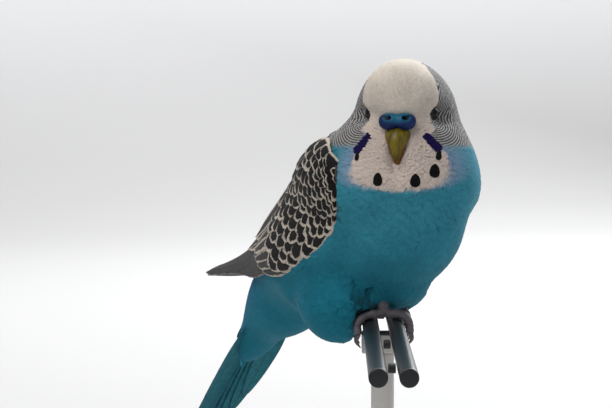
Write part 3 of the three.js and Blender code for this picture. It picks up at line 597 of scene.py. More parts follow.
def cere_look():
    """The waxy blue cere: paler between the nostrils, deep blue on the lobes, with painted shade in the nostril
    pits.
    """
    look = Look("cere", Roughness=0.42, Specular_IOR_Level=0.22, **soft_skin(0.1, 0.0006))
    mottle = look.noise(520, 4)
    deep = look.mix(mottle, (0.001, 0.006, 0.045), (0.001, 0.017, 0.11))
    pale = look.mix(mottle, (0.003, 0.075, 0.15), (0.008, 0.14, 0.23))
    base = look.mix(look.fact("Pale"), deep, pale)
    # Painted shade: the nostril pits are darkened nearly to black, as the inside of deep holes would be.
    base = look.mix(look.fact("NostrilShade"), base, (0.002, 0.003, 0.006))
    look.bump(look.noise(1500, 3), 0.4, 0.1)
    return look.colour(base)


def bill_look():
    """Horn of the bill: olive green, browner along its edges and tip, finely grooved."""
    look = Look("bill", Roughness=0.38, Specular_IOR_Level=0.3, **soft_skin(0.08, 0.0008))
    groove = look.noise(900, 3, stretch=(1, 1, 0.12))
    horn = look.mix(look.ramp(groove, 0.3, 0.7), (0.065, 0.048, 0.001), (0.165, 0.12, 0.002))
    brown = look.mix(groove, (0.10, 0.030, 0.002), (0.21, 0.075, 0.004))
    look.bump(groove, 0.3, 0.08)
    return look.colour(look.mix(look.fact("Brown"), horn, brown))


def leg_look():
    """Scaly skin of the feet, grey with a bluish cast."""
    look = Look("scales", Roughness=0.55, Specular_IOR_Level=0.4)
    cells = look.node("TexVoronoi")
    cells.inputs["Scale"].default_value = 1500
    look.plug(look.node("TexCoord").outputs["Object"], cells.inputs["Vector"])
    spots = look.mix(look.noise(420, 3), (0.05, 0.045, 0.05), (0.15, 0.13, 0.14))
    look.bump(cells.outputs["Distance"], 0.5, 0.12)
    return look.colour(look.mix(look.ramp(cells.outputs["Distance"], 0.0, 0.5), spots, (0.09, 0.08, 0.09)))


def claw_look():
    look = Look("claws", Roughness=0.22, Coat_Weight=0.4)
    grain = look.noise(1200, 2, stretch=(1, 1, 0.3))
    look.bump(grain, 0.2, 0.05)
    return look.colour(look.mix(grain, (0.02, 0.017, 0.018), (0.075, 0.062, 0.062)))


def rail_look():
    look = Look("rail_paint", Roughness=0.34, Specular_IOR_Level=0.4)
    peel = look.noise(260, 2)
    look.bump(peel, 0.12, 0.15)
    return look.colour(look.mix(peel, (0.006, 0.007, 0.008), (0.014, 0.015, 0.017)))


def stand_look():
    look = Look("stand_paint", Roughness=0.55)
    grain = look.noise(700, 3)
    look.bump(grain, 0.15, 0.1)
    return look.colour(look.mix(grain, (0.44, 0.425, 0.40), (0.52, 0.50, 0.475)))


def stage_look():
    look = Look("stage", Roughness=0.9)
    drift = look.noise(1.2, 1)
    place = look.node("SeparateXYZ")
    look.plug(look.node("TexCoord").outputs["Object"], place.inputs[0])
    floor = look.mix(drift, (0.47, 0.465, 0.46), (0.50, 0.495, 0.49))
    wall = look.mix(drift, (0.82, 0.82, 0.82), (0.86, 0.86, 0.86))
    return look.colour(look.mix(look.ramp(place.outputs[2], 0.0, 0.4), floor, wall))


COAT = coat_look()
QUILLS = quill_look()


# Skin

SKIN_VOXEL = 0.62


def coat_depth(points):
    """How deep the skin lies under the outside of the feathers."""
    near_head = smooth(26, 17, np.linalg.norm(points - HEAD_ORIGIN, axis=1))
    depth = lerp(0.65, 0.4, near_head)
    face = np.linalg.norm(points - head(14, 0, -1), axis=1)
    return depth * smooth(3.5, 9, face) + 0.12


def skin_mesh():
    """Soft masses fused into one closed mesh and drawn in under the coat."""
    fused = bmesh.new()
    for centre, axes, radii in HEAD_MASSES + BODY_MASSES + THIGH_MASSES:
        made = bmesh.ops.create_icosphere(fused, subdivisions=4, radius=1)
        for vertex in made["verts"]:
            local = np.array(vertex.co) * (radii + 0.4)
            vertex.co = Vector((centre + local @ axes) * MM)
    mesh = bpy.data.meshes.new("masses")
    fused.to_mesh(mesh)
    fused.free()
    obj = bpy.data.objects.new("masses", mesh)
    bpy.context.scene.collection.objects.link(obj)
    remesh = obj.modifiers.new("fuse", "REMESH")
    remesh.mode = "VOXEL"
    remesh.voxel_size = SKIN_VOXEL * MM * 1
    shell = bpy.data.meshes.new_from_object(obj.evaluated_get(bpy.context.evaluated_depsgraph_get()))
    bpy.data.objects.remove(obj)
    points = np.empty(len(shell.vertices) * 3, np.float32)
    shell.vertices.foreach_get("co", points)
    faces = np.empty(len(shell.loops), np.int32)
    shell.loops.foreach_get("vertex_index", faces)
    points = points.reshape(-1, 3).astype(float) / MM
    points = settle(points, -coat_depth(points), 5)
    return points, faces.reshape(-1, 4)


def coat_facts(points, normals, roots, shade, barb):
    base, barred = coat_colour(points, normals, roots)
    black, violet = ink(points, roots)
    return {
        "Tint": base,
        "Barred": barred,
        "Phase": bar_phase(points),
        "Black": black,
        "Violet": violet,
        "Shade": shade,
        "Barb": barb,
    }


skin_points, skin_faces = skin_mesh()
skin_normals = unit(gradient(skin_points))
# The skin under the coat gets painted shade, a Shade value of 0.8, as if in the coat's shadow.
skin = add_object(
    "skin",
    skin_points,
    skin_faces,
    COAT,
    facts=coat_facts(skin_points, skin_normals, skin_points, np.full(len(skin_points), 0.8), skin_points),
)
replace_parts(skin, "head", "neck", "torso", "thigh_right", "thigh_left")


def unwrap(obj):
    """Lays the skin out flat by its own shape, as the map that the coat's tufts share."""
    bpy.context.view_layer.objects.active = obj
    obj.select_set(True)
    bpy.ops.object.mode_set(mode="EDIT")
    bpy.ops.mesh.select_all(action="SELECT")
    bpy.ops.uv.smart_project(angle_limit=math.radians(66), island_margin=0.004)
    bpy.ops.object.mode_set(mode="OBJECT")
    obj.select_set(False)
    obj.data.uv_layers[0].name = "OFBake"
    uv = np.empty(len(obj.data.loops) * 2, np.float32)
    obj.data.uv_layers[0].data.foreach_get("uv", uv)
    return uv.reshape(-1, 4, 2).mean(axis=1)


skin_patches = unwrap(skin)
skin_tree = BVHTree.FromPolygons(skin_points.tolist(), skin_faces.tolist())


# Folded wings and tail, as smooth surfaces that their feathers lie on

WING_PROFILE = np.array([[-13, 17.5, 14.5], [10, 19, 14], [33, 16, 11], [62, 10, 5.5], [94, 4.6, 3.4]])
WING_PROUD = 0.8
GRID_A = 181
GRID_B = 61
B_LOW = -0.25
B_HIGH = 1.25


def half_width(s, z):
    """The body's half width at places of the side view."""
    start = np.stack([0 * s, s, RAIL_TOP + z], axis=1)
    near = np.zeros(len(s))
    alive = trunk(start) < 0
    for _ in range(34):
        inside = trunk(start - (near + 1.2)[:, None] * SIDEWAYS) < 0
        alive &= inside
        near = np.where(alive, near + 1.2, near)
    step = np.where(near > 0, 1.2, 0.0)
    for _ in range(7):
        step /= 2
        inside = trunk(start - (near + step)[:, None] * SIDEWAYS) < 0
        near = np.where(inside & (step > 0), near + step, near)
    return near


def wing_surface():
    """The right wing's outside as a grid of points, with its normals and the distance between its edges."""
    a = np.linspace(0, 1, GRID_A)
    b = np.linspace(B_LOW, B_HIGH, GRID_B)
    low = catmull(WING_LOWER, a)
    top = catmull(WING_UPPER, a)
    chord = np.linalg.norm(top - low, axis=1)
    side = low[:, None] + (top - low)[:, None] * b[None, :, None]
    s, z = side[..., 0].ravel(), side[..., 1].ravel()
    lower = np.interp(s, WING_PROFILE[:, 0], WING_PROFILE[:, 1])
    upper = np.interp(s, WING_PROFILE[:, 0], WING_PROFILE[:, 2])
    roof = lerp(lower, upper, np.clip(np.tile(b, GRID_A), 0, 1) ** 1.4)
    l = -soft_min(-roof, -(half_width(s, z) + WING_PROUD), 3)
    grid = np.stack([-l, s, RAIL_TOP + z], axis=1).reshape(GRID_A, GRID_B, 3)
    normal = unit(np.cross(np.gradient(grid, axis=0), np.gradient(grid, axis=1)))
    normal = np.where(normal[..., :1] > 0, -normal, normal)
    for _ in range(3):
        padded = np.pad(normal, ((1, 1), (1, 1), (0, 0)), mode="edge")
        normal = unit(padded[:-2, 1:-1] + padded[2:, 1:-1] + padded[1:-1, :-2] + padded[1:-1, 2:] + normal)
    return grid, normal, chord


WING_GRID, WING_NORMAL, WING_CHORD = wing_surface()


def from_grid(grid, a, b):
    x = np.clip(a, 0, 1) * (GRID_A - 1)
    y = np.clip((b - B_LOW) / (B_HIGH - B_LOW), 0, 1) * (GRID_B - 1)
    i = np.minimum(x.astype(int), GRID_A - 2)
    j = np.minimum(y.astype(int), GRID_B - 2)
    u = (x - i)[..., None]
    v = (y - j)[..., None]
    near = lerp(grid[i, j], grid[i + 1, j], u)
    far = lerp(grid[i, j + 1], grid[i + 1, j + 1], u)
    return lerp(near, far, v)


def wing_place(a, across, height):
    """Points on the wing: a and a base b from each feather's own line, then millimetres across and out."""
    a, b = a
    chord = np.interp(a, np.linspace(0, 1, GRID_A), WING_CHORD)
    b = b + across / chord
    plump = 0.9 * (1 - smooth(0.35, 0.8, a))
    sunk = 1.9 * smooth(0.08, 0.0, a) + 1.5 * smooth(0.07, -0.05, b) * smooth(0.62, 0.4, a)
    plump = plump - np.minimum(sunk, 2.2)
    normal = from_grid(WING_NORMAL, a, b)
    return from_grid(WING_GRID, a, b) + normal * (height + plump)[..., None], normal


TAIL_PITCH = math.radians(43)
TAIL_ALONG = np.array([0, math.cos(TAIL_PITCH), -math.sin(TAIL_PITCH)])
TAIL_UP = np.array([0, math.sin(TAIL_PITCH), math.cos(TAIL_PITCH)])
TAIL_CUT = bird(56, 0, 1)


def tail_place(along, across, height):
    arch = 0.02 * across**2
    return (
        TAIL_CUT
        + along[..., None] * TAIL_ALONG
        + across[..., None] * SIDEWAYS
        + (height - arch)[..., None] * TAIL_UP
    )


ACROSS_TOP = 7
STATIONS = 10


def vane_shape(stations, tip_start, root_width, point=2.0):
    """Half width along a vane, from 0 to 1: a narrow root, full middle and rounded tip."""
    t = np.linspace(0, 1, stations) ** 0.85
    swell = lerp(root_width, 1.0, smooth(0, 0.45, t))
    end = np.clip((t - tip_start) / (1 - tip_start), 0, 1)
    return t, swell * np.maximum((1 - end**point) ** 0.5, 0.06)


def vanes(
    place,
    lengths,
    widths,
    lifts,
    thick=0.28,
    tip_start=0.55,
    root_width=0.6,
    tilt=0.1,
    stations=STATIONS,
    point=2.0,
    curl=0.0,
    tip_margin=1.0,
):
    """Closed feather vanes. place(t, across, height) gives points and normals by [feather, station, corner]."""
    t, shape = vane_shape(stations, tip_start, root_width, point)
    x = np.linspace(-1, 1, ACROSS_TOP)
    ring_x = np.concatenate([x, x[-2:0:-1]])
    upper = np.concatenate([np.ones(ACROSS_TOP), np.zeros(ACROSS_TOP - 2)])
    dome = np.sqrt(np.maximum(1 - ring_x**2, 0))
    across = 0.5 * widths[:, None, None] * shape[None, :, None] * ring_x[None, None]
    along = np.broadcast_to(t[None, :, None], across.shape)
    lift = lerp(lifts[0], lifts[1], np.sqrt(t))[None, :, None]
    lift = lift + curl * smooth(0.6, 1, t)[None, :, None]
    ridge = dome * np.where(upper > 0, thick, -0.05)
    height = lift + ridge[None, None] - tilt * across
    points, normals = place(along, across, height)
    rim_side = np.abs(0.5 * widths[:, None, None] * shape[None, :, None]) - np.abs(across)
    rim_tip = (1 - along) * lengths[:, None, None] / tip_margin
    rim = np.minimum(rim_side, rim_tip)
    side_way = unit(np.gradient(points[:, :, :ACROSS_TOP], axis=2))
    side_way = np.concatenate([side_way, side_way[:, :, -2:0:-1]], axis=2)
    lean = 0.35 * (ring_x * np.abs(ring_x))[None, None, :, None] * side_way
    normals = unit(normals + lean)
    where = np.stack([along * lengths[:, None, None], across, rim], axis=-1)
    mesh_points, faces = tubes(points)
    return mesh_points, faces, spread(normals), spread(where)


def colours(count, colour, vary):
    """One colour for each feather, each a little lighter or darker."""
    return np.asarray(colour)[None] * (1 + vary * RANDOM.uniform(-1, 1, (count, 1)))


def quill_piece(name, groups, mirror=False):
    """Joins groups of (vanes, tints, edges, rims) into one object."""
    points, faces, normals, where, tint, edge, rim = [], [], [], [], [], [], []
    base = 0
    for (p, f, n, w), tints, edges, rims in groups:
        each = len(p) // len(tints)
        points.append(p)
        faces.append(f + base)
        normals.append(n)
        where.append(w)
        tint.append(np.repeat(tints, each, axis=0))
        edge.append(np.repeat(edges, each, axis=0))
        rim.append(np.repeat(rims, each))
        base += len(p)
    points, faces, normals = np.concatenate(points), np.concatenate(faces), np.concatenate(normals)
    if mirror:
        points = points * [-1, 1, 1]
        normals = normals * [-1, 1, 1]
        faces = faces[:, ::-1]
    facts = {
        "Vane": np.concatenate(where),
        "Tint": np.concatenate(tint),
        "Edge": np.concatenate(edge),
        "Rim": np.concatenate(rim),
    }
    return add_object(name, points, faces, QUILLS, facts=facts, normals=normals)


BLACK = (0.006, 0.0055, 0.006)
FLIGHT = (0.055, 0.053, 0.055)
FLIGHT_EDGE = (0.22, 0.21, 0.195)
A_OF_MM = ([0, 12.6, 33.6, 60, 88, 116], [0, 0.2, 0.4, 0.6, 0.8, 1.0])
COVERT_TIPS = [2.6, 4.7, 6.9, 9.2, 11.6, 14.1, 16.7, 19.4, 22.2, 25.1, 28.1, 31.3, 34.6, 38.2, 42.2, 46.6]


def covert_group(k, tip_mm):
    """One row of coverts across the folded wing."""
    grown = k / (len(COVERT_TIPS) - 1)
    width = lerp(3.6, 6.0, grown)
    step = tip_mm - (COVERT_TIPS[k - 1] if k else 0)
    length = 2.5 * step + 2.0
    chord = np.interp(np.interp(tip_mm, *A_OF_MM), np.linspace(0, 1, GRID_A), WING_CHORD)
    count = max(2, int(round((chord + 2) / (0.74 * width))))
    place = (np.arange(count) + 0.5 * (k % 2) + 0.25) / count
    place = place + RANDOM.uniform(-0.18, 0.18, count) / count
    sweep = 2.6 * (place - 0.5) + RANDOM.uniform(-0.6, 0.6, count)
    tip = tip_mm + sweep
    lengths = length * (1 + 0.1 * RANDOM.uniform(-1, 1, count))
    widths = width * (1 + 0.15 * RANDOM.uniform(-1, 1, count))
    roots = np.maximum(tip - lengths, -2.0)
    b_tip = lerp(0.03, 0.97, place)
    b_root = lerp(0.10, 0.94, place) + 0.02 * RANDOM.uniform(-1, 1, count)

    def put(t, across, height):
        mm = lerp(roots[:, None, None], tip[:, None, None], t)
        a = np.interp(np.maximum(mm, 0.2), *A_OF_MM)
        b = lerp(b_root[:, None, None], b_tip[:, None, None], t)
        return wing_place((a, b), across, height)

    tints = colours(count, lerp(np.array(BLACK), np.array(BLACK) * 2, grown), 0.3)
    edges = colours(count, PALE, 0.12)
    rims = lerp(0.5, 0.72, grown) * (1 + 0.2 * RANDOM.uniform(-1, 1, count))
    lifts = (lerp(-0.75, -0.3, grown), lerp(0.32, 0.95, grown))
    made = vanes(put, lengths, widths, lifts, thick=0.3, tilt=0.05, curl=0.12, tip_margin=1.7)
    return made, tints, edges, rims


# Fans of long feathers: how many, how wide, the first and last one's place, and how high roots and tips lie
PRIMARIES = (9, 5.0, (0.42, 0.18, 0.74, 0.1), (0.5, 0.74, 0.998, 0.5), (-0.9, 0.05))
SECONDARIES = (8, 5.2, (0.27, 0.1, 0.55, 0.06), (0.36, 0.84, 0.75, 0.86), (-0.85, 0.35))
TERTIALS = (5, 5.6, (0.3, 0.5, 0.6, 0.42), (0.34, 0.95, 0.69, 0.96), (-0.8, 0.6))


def flight_group(count, width, first, last, lifts, tint, edge, rim, tip_start=0.6, tilt=0.13, wander=0.004):
    """One fan of long feathers: first and last are (root a, root b, tip a, tip b)."""
    i = np.linspace(0, 1, count)
    ends = lerp(np.array(first, float)[None], np.array(last, float)[None], i[:, None])
    ends[:, 2] = np.minimum(ends[:, 2] + wander * RANDOM.uniform(-1, 1, count), 1)
    mm = np.interp(ends[:, [0, 2]], A_OF_MM[1], A_OF_MM[0])
    lengths = mm[:, 1] - mm[:, 0]
    widths = np.full(count, width)

    def put(t, across, height):
        a = lerp(ends[:, 0, None, None], ends[:, 2, None, None], t)
        b = lerp(ends[:, 1, None, None], ends[:, 3, None, None], t)
        return wing_place((a, b), across, height)

    made = vanes(put, lengths, widths, lifts, thick=0.35, tip_start=tip_start, tilt=tilt, stations=16)
    return made, colours(count, tint, 0.15), colours(count, edge, 0.1), np.full(count, rim)


def wing_groups():
    groups = [
        flight_group(*PRIMARIES, FLIGHT, FLIGHT_EDGE, 0.28),
        flight_group(*SECONDARIES, FLIGHT, PALE, 0.6),
        flight_group(*TERTIALS, FLIGHT, PALE, 0.75),
    ]
    for k in reversed(range(len(COVERT_TIPS))):
        groups.append(covert_group(k, COVERT_TIPS[k]))
    return groups


def core_group():
    """The slab under the wing's feathers, sunk into the body's side."""
    a = lerp(0.02, 0.985, np.linspace(0, 1, 40))
    b = np.linspace(0.04, 0.96, 9)
    outer = from_grid(WING_GRID, a[:, None] + 0 * b[None], b[None] + 0 * a[:, None])
    thick = lerp(3.2, 0.9, np.clip(a / 0.75, 0, 1))
    inner = outer + thick[:, None, None] * SIDEWAYS
    rings = np.concatenate([outer, inner[:, ::-1]], axis=1)[None]
    points, faces = tubes(rings)
    where = np.zeros_like(points)
    where[:, 2] = 5
    where[:, 1] = 1
    mesh = bpy.data.meshes.new("slab")
    mesh.from_pydata(points.tolist(), [], faces.tolist())
    normals = np.array([v.vector for v in mesh.vertex_normals])
    bpy.data.meshes.remove(mesh)
    return (points, faces, normals, where), np.array([FLIGHT]), np.array([FLIGHT]), np.array([0.0])


WING_GROUPS = [core_group(), *wing_groups()]
for side_name, is_left in (("right", False), ("left", True)):
    wing = quill_piece(f"wing_quills_{side_name}", WING_GROUPS, mirror=is_left)
    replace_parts(wing, f"wing_{side_name}")


TAIL_BLUE = (0.010, 0.055, 0.15)
TAIL_TEAL = (0.012, 0.13, 0.17)
TAIL_PAIRS = [(92, 1, 1.2), (80, 1.8, 2.6), (70, 2.5, 3.7), (61, 3.1, 4.7), (52, 3.7, 5.6), (43, 4.2, 6.4)]


def tail_group(order, pair):
    length, root, spread_out = pair
    side = np.array([1.0, -1.0])
    lengths = np.full(2, float(length))
    lift = -0.4 - 0.42 * order

    def put(t, across, height):
        middle = side[:, None, None] * lerp(root, spread_out, np.sqrt(t))
        points = tail_place(6 + t * length, middle + across, height)
        tip = np.broadcast_to(TAIL_UP, points.shape)
        return points, tip

    shape = {"thick": 0.4, "tip_start": 0.35, "root_width": 0.8, "tilt": 0.03, "stations": 18, "point": 1.5}
    made = vanes(put, lengths, np.full(2, 6.4), (lift, lift), **shape)
    tint = TAIL_BLUE if order == 0 else lerp(np.array(TAIL_BLUE), np.array(TAIL_TEAL), min(order / 3, 1))
    edge = TAIL_BLUE if order == 0 else TAIL_TEAL
    return made, colours(2, tint, 0.05), colours(2, edge, 0.1), np.full(2, 0.5)


# Rows of tail coverts: length, width, height, droop at the tip, spread, how many, and where they start
COVERTS_ABOVE = [
    (26, 5.2, 1.7, -0.6, 4.2, 7, 2),
    (19, 5.0, 2.2, -0.5, 4.4, 8, 1),
    (12, 4.6, 2.8, -0.4, 4.6, 8, 0),
]
COVERTS_BELOW = [
    (31, 5.4, 3.1, -0.6, 4.2, 7, 2),
    (23, 5.2, 3.6, -0.5, 4.4, 8, 1),
    (14, 4.8, 4.1, -0.4, 4.6, 8, 0),
]


def tail_coverts(side, rows):
    """Coverts above or below the tail's root, row by row."""
    groups = []
    for length, width, height, droop, spread_out, count, start in rows:
        place = np.linspace(-1, 1, count)
        lengths = length * (1 - 0.25 * np.abs(place)) + RANDOM.uniform(-0.6, 0.6, count)
        bend = 1.1 * place**2

        def put(t, across, up, lengths=lengths, place=place, bend=bend, start=start, spread_out=spread_out):
            middle = spread_out * place[:, None, None] * (0.75 + 0.35 * t)
            height_now = side * (up - bend[:, None, None])
            points = tail_place(start + t * lengths[:, None, None], middle + across, height_now)
            return points, np.broadcast_to(side * TAIL_UP, points.shape)

        lifts = (height - 1.3, height + droop)
        made = vanes(put, lengths, np.full(count, width), lifts, thick=0.35, tilt=0.0)
        # The coverts below the tail take the belly colour, with its painted shade.
        tint = RUMP * 0.8 if side > 0 else BELLY
        tints = colours(count, tint, 0.12)
        groups.append((made, tints, colours(count, tint * 1.5, 0.1), np.full(count, 0.5)))
    return groups


TAIL_GROUPS = [tail_group(order, pair) for order, pair in enumerate(TAIL_PAIRS)]
TAIL_GROUPS += tail_coverts(1, COVERTS_ABOVE)
TAIL_GROUPS += tail_coverts(-1, COVERTS_BELOW)
tail_quills = quill_piece("tail_quills", TAIL_GROUPS)
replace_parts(tail_quills, "tail")


# Face

EYE_RADIUS = 2.4
EYE_CENTRES = [head(6, 6.8 * side, 1.7) for side in (1, -1)]
EYE_AXES = [unit(HEAD_FORWARD * 0.45 + HEAD_LEFT * 0.89 * side + UP * 0.05) for side in (1, -1)]
UPPER_BILL = np.array([
    [11.4, -3.9, 2.9, 2.1],
    [13.6, -3.6, 3.2, 2.2],
    [15.2, -5.0, 2.75, 1.9],
    [15.7, -7.0, 1.85, 1.45],
    [15.3, -9.5, 1.0, 0.9],
    [14.5, -11.8, 0.25, 0.25],
])
LOWER_BILL = np.array([[9.6, -6.2, 2.4, 1.6], [11.6, -7.2, 2.1, 1.4], [12.9, -8.8, 1.4, 0.8]])


def eye(name, centre, axis):
    count, rings = 48, 32
    polar = np.linspace(0.02, math.pi - 0.02, rings)
    around = np.linspace(0, 2 * math.pi, count, endpoint=False)
    side = unit(np.cross(axis, UP))
    over = np.cross(side, axis)
    bulge = EYE_RADIUS * (1 + 0.05 * smooth(0.7, 0.2, polar))
    ring = (
        np.cos(polar)[:, None, None] * axis
        + np.sin(polar)[:, None, None] * np.cos(around)[None, :, None] * side
        + np.sin(polar)[:, None, None] * np.sin(around)[None, :, None] * over
    )
    rings_points = centre + ring * bulge[:, None, None]
    points, faces = tubes(rings_points[None])
    angle = np.arccos(np.clip(unit(points - centre) @ axis, -1, 1))
    return add_object(name, points, faces, EYE_LOOK, facts={"Ring": angle})


def lids(name, centre, axis):
    """A ring of bare skin round the eye, with a fold, standing on the eyeball's edge."""
    side = unit(np.cross(axis, UP))
    over = np.cross(side, axis)
    around = np.linspace(0, 2 * math.pi, 72, endpoint=False)
    opening = 0.92 + 0.10 * np.cos(2 * around)
    section = np.array([
        [0.00, 0.06], [0.03, 0.24], [0.10, 0.33], [0.18, 0.27], [0.25, 0.36], [0.34, 0.42],
        [0.45, 0.34], [0.62, 0.10], [0.62, -0.25], [0.30, -0.25], [0.05, -0.1],
    ])
    theta = opening[:, None] + section[None, :, 0]
    radius = EYE_RADIUS + section[None, :, 1] + 0.03 * np.sin(9 * around)[:, None]
    direction = np.cos(around)[:, None] * side + np.sin(around)[:, None] * over
    ring = np.cos(theta)[..., None] * axis + np.sin(theta)[..., None] * direction[:, None]
    points = centre + ring * radius[..., None]
    return add_object(name, points.reshape(-1, 3), torus_faces(*points.shape[:2]), LID_LOOK)


def torus_faces(rings, corners):
    i, k = np.meshgrid(np.arange(rings), np.arange(corners), indexing="ij")
    i, k = i.ravel(), k.ravel()
    j, m = (i + 1) % rings, (k + 1) % corners
    return np.stack([i * corners + k, i * corners + m, j * corners + m, j * corners + k], axis=1)


def cere_field(points):
    halves = []
    for side in (1, -1):
        lobe = distance(points, head_mass(14.6, 2.4 * side, -0.5, [1.7, 2.2, 1.85]))
        inner = distance(points, head_mass(14.5, 0.9 * side, 0, [1.7, 1.6, 1.35]))
        corner = distance(points, head_mass(14.3, 3.1 * side, 0.25, [1.5, 1.45, 1.2]))
        halves.append(soft_min(soft_min(lobe, corner, 0.6), inner, 2.0))
    d = soft_min(halves[0], halves[1], 0.8)
    for pit in NOSTRILS:
        d = soft_max(d, -distance(points, pit), 0.35)
    return d


NOSTRILS = [head_mass(16.0, 2.25 * side, 0.65, [1.4, 0.86, 0.48]) for side in (1, -1)]


def cere():
    count, rings = 120, 70
    centre = head(14.2, 0, -0.4)
    polar = np.linspace(0.03, math.pi - 0.03, rings)
    around = np.linspace(0, 2 * math.pi, count, endpoint=False)
    ray = (
        np.cos(polar)[:, None, None] * HEAD_FORWARD
        + np.sin(polar)[:, None, None] * np.cos(around)[None, :, None] * HEAD_LEFT
        + np.sin(polar)[:, None, None] * np.sin(around)[None, :, None] * UP
    ).reshape(-1, 3)
    low = np.zeros(len(ray))
    high = np.full(len(ray), 8.0)
    for _ in range(22):
        middle = (low + high) / 2
        inside = cere_field(centre + ray * middle[:, None]) < 0
        low = np.where(inside, middle, low)
        high = np.where(inside, high, middle)
    points, faces = tubes((centre + ray * low[:, None]).reshape(1, rings, count, 3))
    _, l, u = head_local(points).T
    pit = np.min([distance(points, pit) for pit in NOSTRILS], axis=0)
    facts = {
        "Pale": smooth(-1.3, 0.2, u - 0.12 * np.abs(l)) * smooth(4.0, 2.8, np.abs(l)),
        # Painted shade inside the nostril pits.
        "NostrilShade": 1 - smooth(0.08, 0.26, pit),
    }
    return add_object("cere_skin", points, faces, CERE_LOOK, facts=facts)


def bill(name, table, stations):
    """A horn of elliptic sections along the bill's line, with a low ridge on top."""
    places = np.linspace(0, 1, stations)
    f, u, wide, deep = catmull(table, places).T
    centres = head(0, 0, 0) + f[:, None] * HEAD_FORWARD + u[:, None] * UP
    tangent = unit(np.gradient(centres, axis=0))
    normal = unit(np.cross(tangent, HEAD_LEFT))
    angle = np.linspace(0, 2 * math.pi, 36, endpoint=False)
    ridge = 1 + 0.05 * np.exp(-((np.sin((angle - 1.5 * math.pi) / 2) / 0.12) ** 2))
    ridge = ridge + 0.05 * np.exp(-((np.sin((angle - 0.5 * math.pi) / 2) / 0.12) ** 2))
    ring = (
        np.maximum(wide, 0.05)[:, None, None] * (np.cos(angle) * ridge)[None, :, None] * HEAD_LEFT
        + np.maximum(deep, 0.05)[:, None, None] * (np.sin(angle) * ridge)[None, :, None] * normal[:, None]
    )
    points, faces = tubes((centres[:, None] + ring)[None])
    _, ll, lu = head_local(points).T
    edge = np.abs(ll) / np.maximum(np.interp(-lu, -table[::-1, 1][::-1], table[:, 2]), 0.3)
    brown = np.maximum(smooth(0.6, 0.95, edge) * smooth(-5.0, -7.0, lu), smooth(-8.6, -11.0, lu))
    return add_object(name, points, faces, BILL_LOOK, facts={"Brown": 0.85 * brown})


EYE_LOOK = eye_look()
LID_LOOK = lid_look()
CERE_LOOK = cere_look()
BILL_LOOK = bill_look()
for side_name, centre, axis in zip(("left", "right"), EYE_CENTRES, EYE_AXES):
    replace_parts(eye(f"eyeball_{side_name}", centre, axis), f"eye_{side_name}")
    lids(f"lids_{side_name}", centre, axis)
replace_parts(cere(), "cere")
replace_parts(bill("bill_horn_upper", UPPER_BILL, 40), "bill_upper")
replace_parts(bill("bill_horn_lower", LOWER_BILL, 20), "bill_lower")


# Feet

ROD_RADIUS = 2.1
ROD_SPACING = 6.5
TOE_HEIGHT = 1.45


def toe_path(t0, t1, direction, wrap):
    centre = ROD_SPACING / 2
    radius = ROD_RADIUS + TOE_HEIGHT
    points = [rail(t0, 0, TOE_HEIGHT + 0.5), rail(lerp(t0, t1, 0.35), direction * centre * 0.6, TOE_HEIGHT)]
    for i in range(4):
        angle = math.radians(wrap * i / 3)
        out = direction * (centre + radius * math.sin(angle))
        points.append(rail(lerp(t0, t1, 0.5 + i / 6), out, radius * math.cos(angle) - ROD_RADIUS))
    return points


def scutes(places, angle):
    """Raised rings of scales, fuller at the joints."""
    saw = (places * 15) % 1
    return 0.09 * saw**0.6 + 0.1 * np.cos(places * 2 * math.pi * 3) * (1 + 0 * angle)


def foot(name, t, front):
    toes, claws = [], []
    for to, direction, wrap in (
        (t - 3.6, front, 112),
        (t + 1.44, front, 104),
        (t - 1.08, -front, 106),
        (t + 3.6, -front, 96),
    ):
        path = toe_path(t, to, direction, wrap)
        toes.append(limb(path, [1.2, 1.12, 1.0, 0.9], 60, 16, scutes))
        end = path[-1]
        outward = RAIL_RIGHT * direction
        line = [end, end + 0.5 * outward - 1.7 * UP, end - 0.6 * outward - 3.4 * UP]
        claws.append(limb(line, [0.72, 0.55, 0.12], 60, 16))
    ankle = rail(t, 0, TOE_HEIGHT)
    shin = ankle + np.array([0, 2, 6.0])
    toes.append(limb([ankle, lerp(ankle, shin, 0.5), shin], [1.5, 1.4, 1.4], 60, 16, scutes))
    points, faces = tubes(np.concatenate(toes))
    made = add_object(name, points, faces, LEG_LOOK)
    points, faces = tubes(np.concatenate(claws))
    add_object(name + "_claws", points, faces, CLAW_LOOK)
    return made


LEG_LOOK = leg_look()
CLAW_LOOK = claw_look()
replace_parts(foot("toes_right", -9, -1), "foot_right")
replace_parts(foot("toes_left", 8, 1), "foot_left")


# Rail and stand


def lathe(name, start, axis, profile, material, corners=96):
    """A turned body: profile lists (distance along the axis, radius)."""
    profile = np.array(profile, float)
    side = unit(np.cross(axis, [0.3, 0.2, 0.93] if abs(axis[2]) < 0.9 else [1, 0, 0]))
    over = np.cross(axis, side)
    angle = np.linspace(0, 2 * math.pi, corners, endpoint=False)
    circle = np.cos(angle)[:, None] * side + np.sin(angle)[:, None] * over
    rings = start + profile[:, 0, None, None] * axis + profile[:, 1, None, None] * circle[None]
    points, faces = tubes(rings[None])
    obj = add_object(name, points, faces, material)
    sharpen(obj)
    return obj


def sharpen(obj):
    """Keeps the shading flat across sharp edges."""
    angle = math.radians(35)
    mesh = bmesh.new()
    mesh.from_mesh(obj.data)
    for edge in mesh.edges:
        edge.smooth = edge.calc_face_angle(0) < angle
    mesh.to_mesh(obj.data)
    mesh.free()


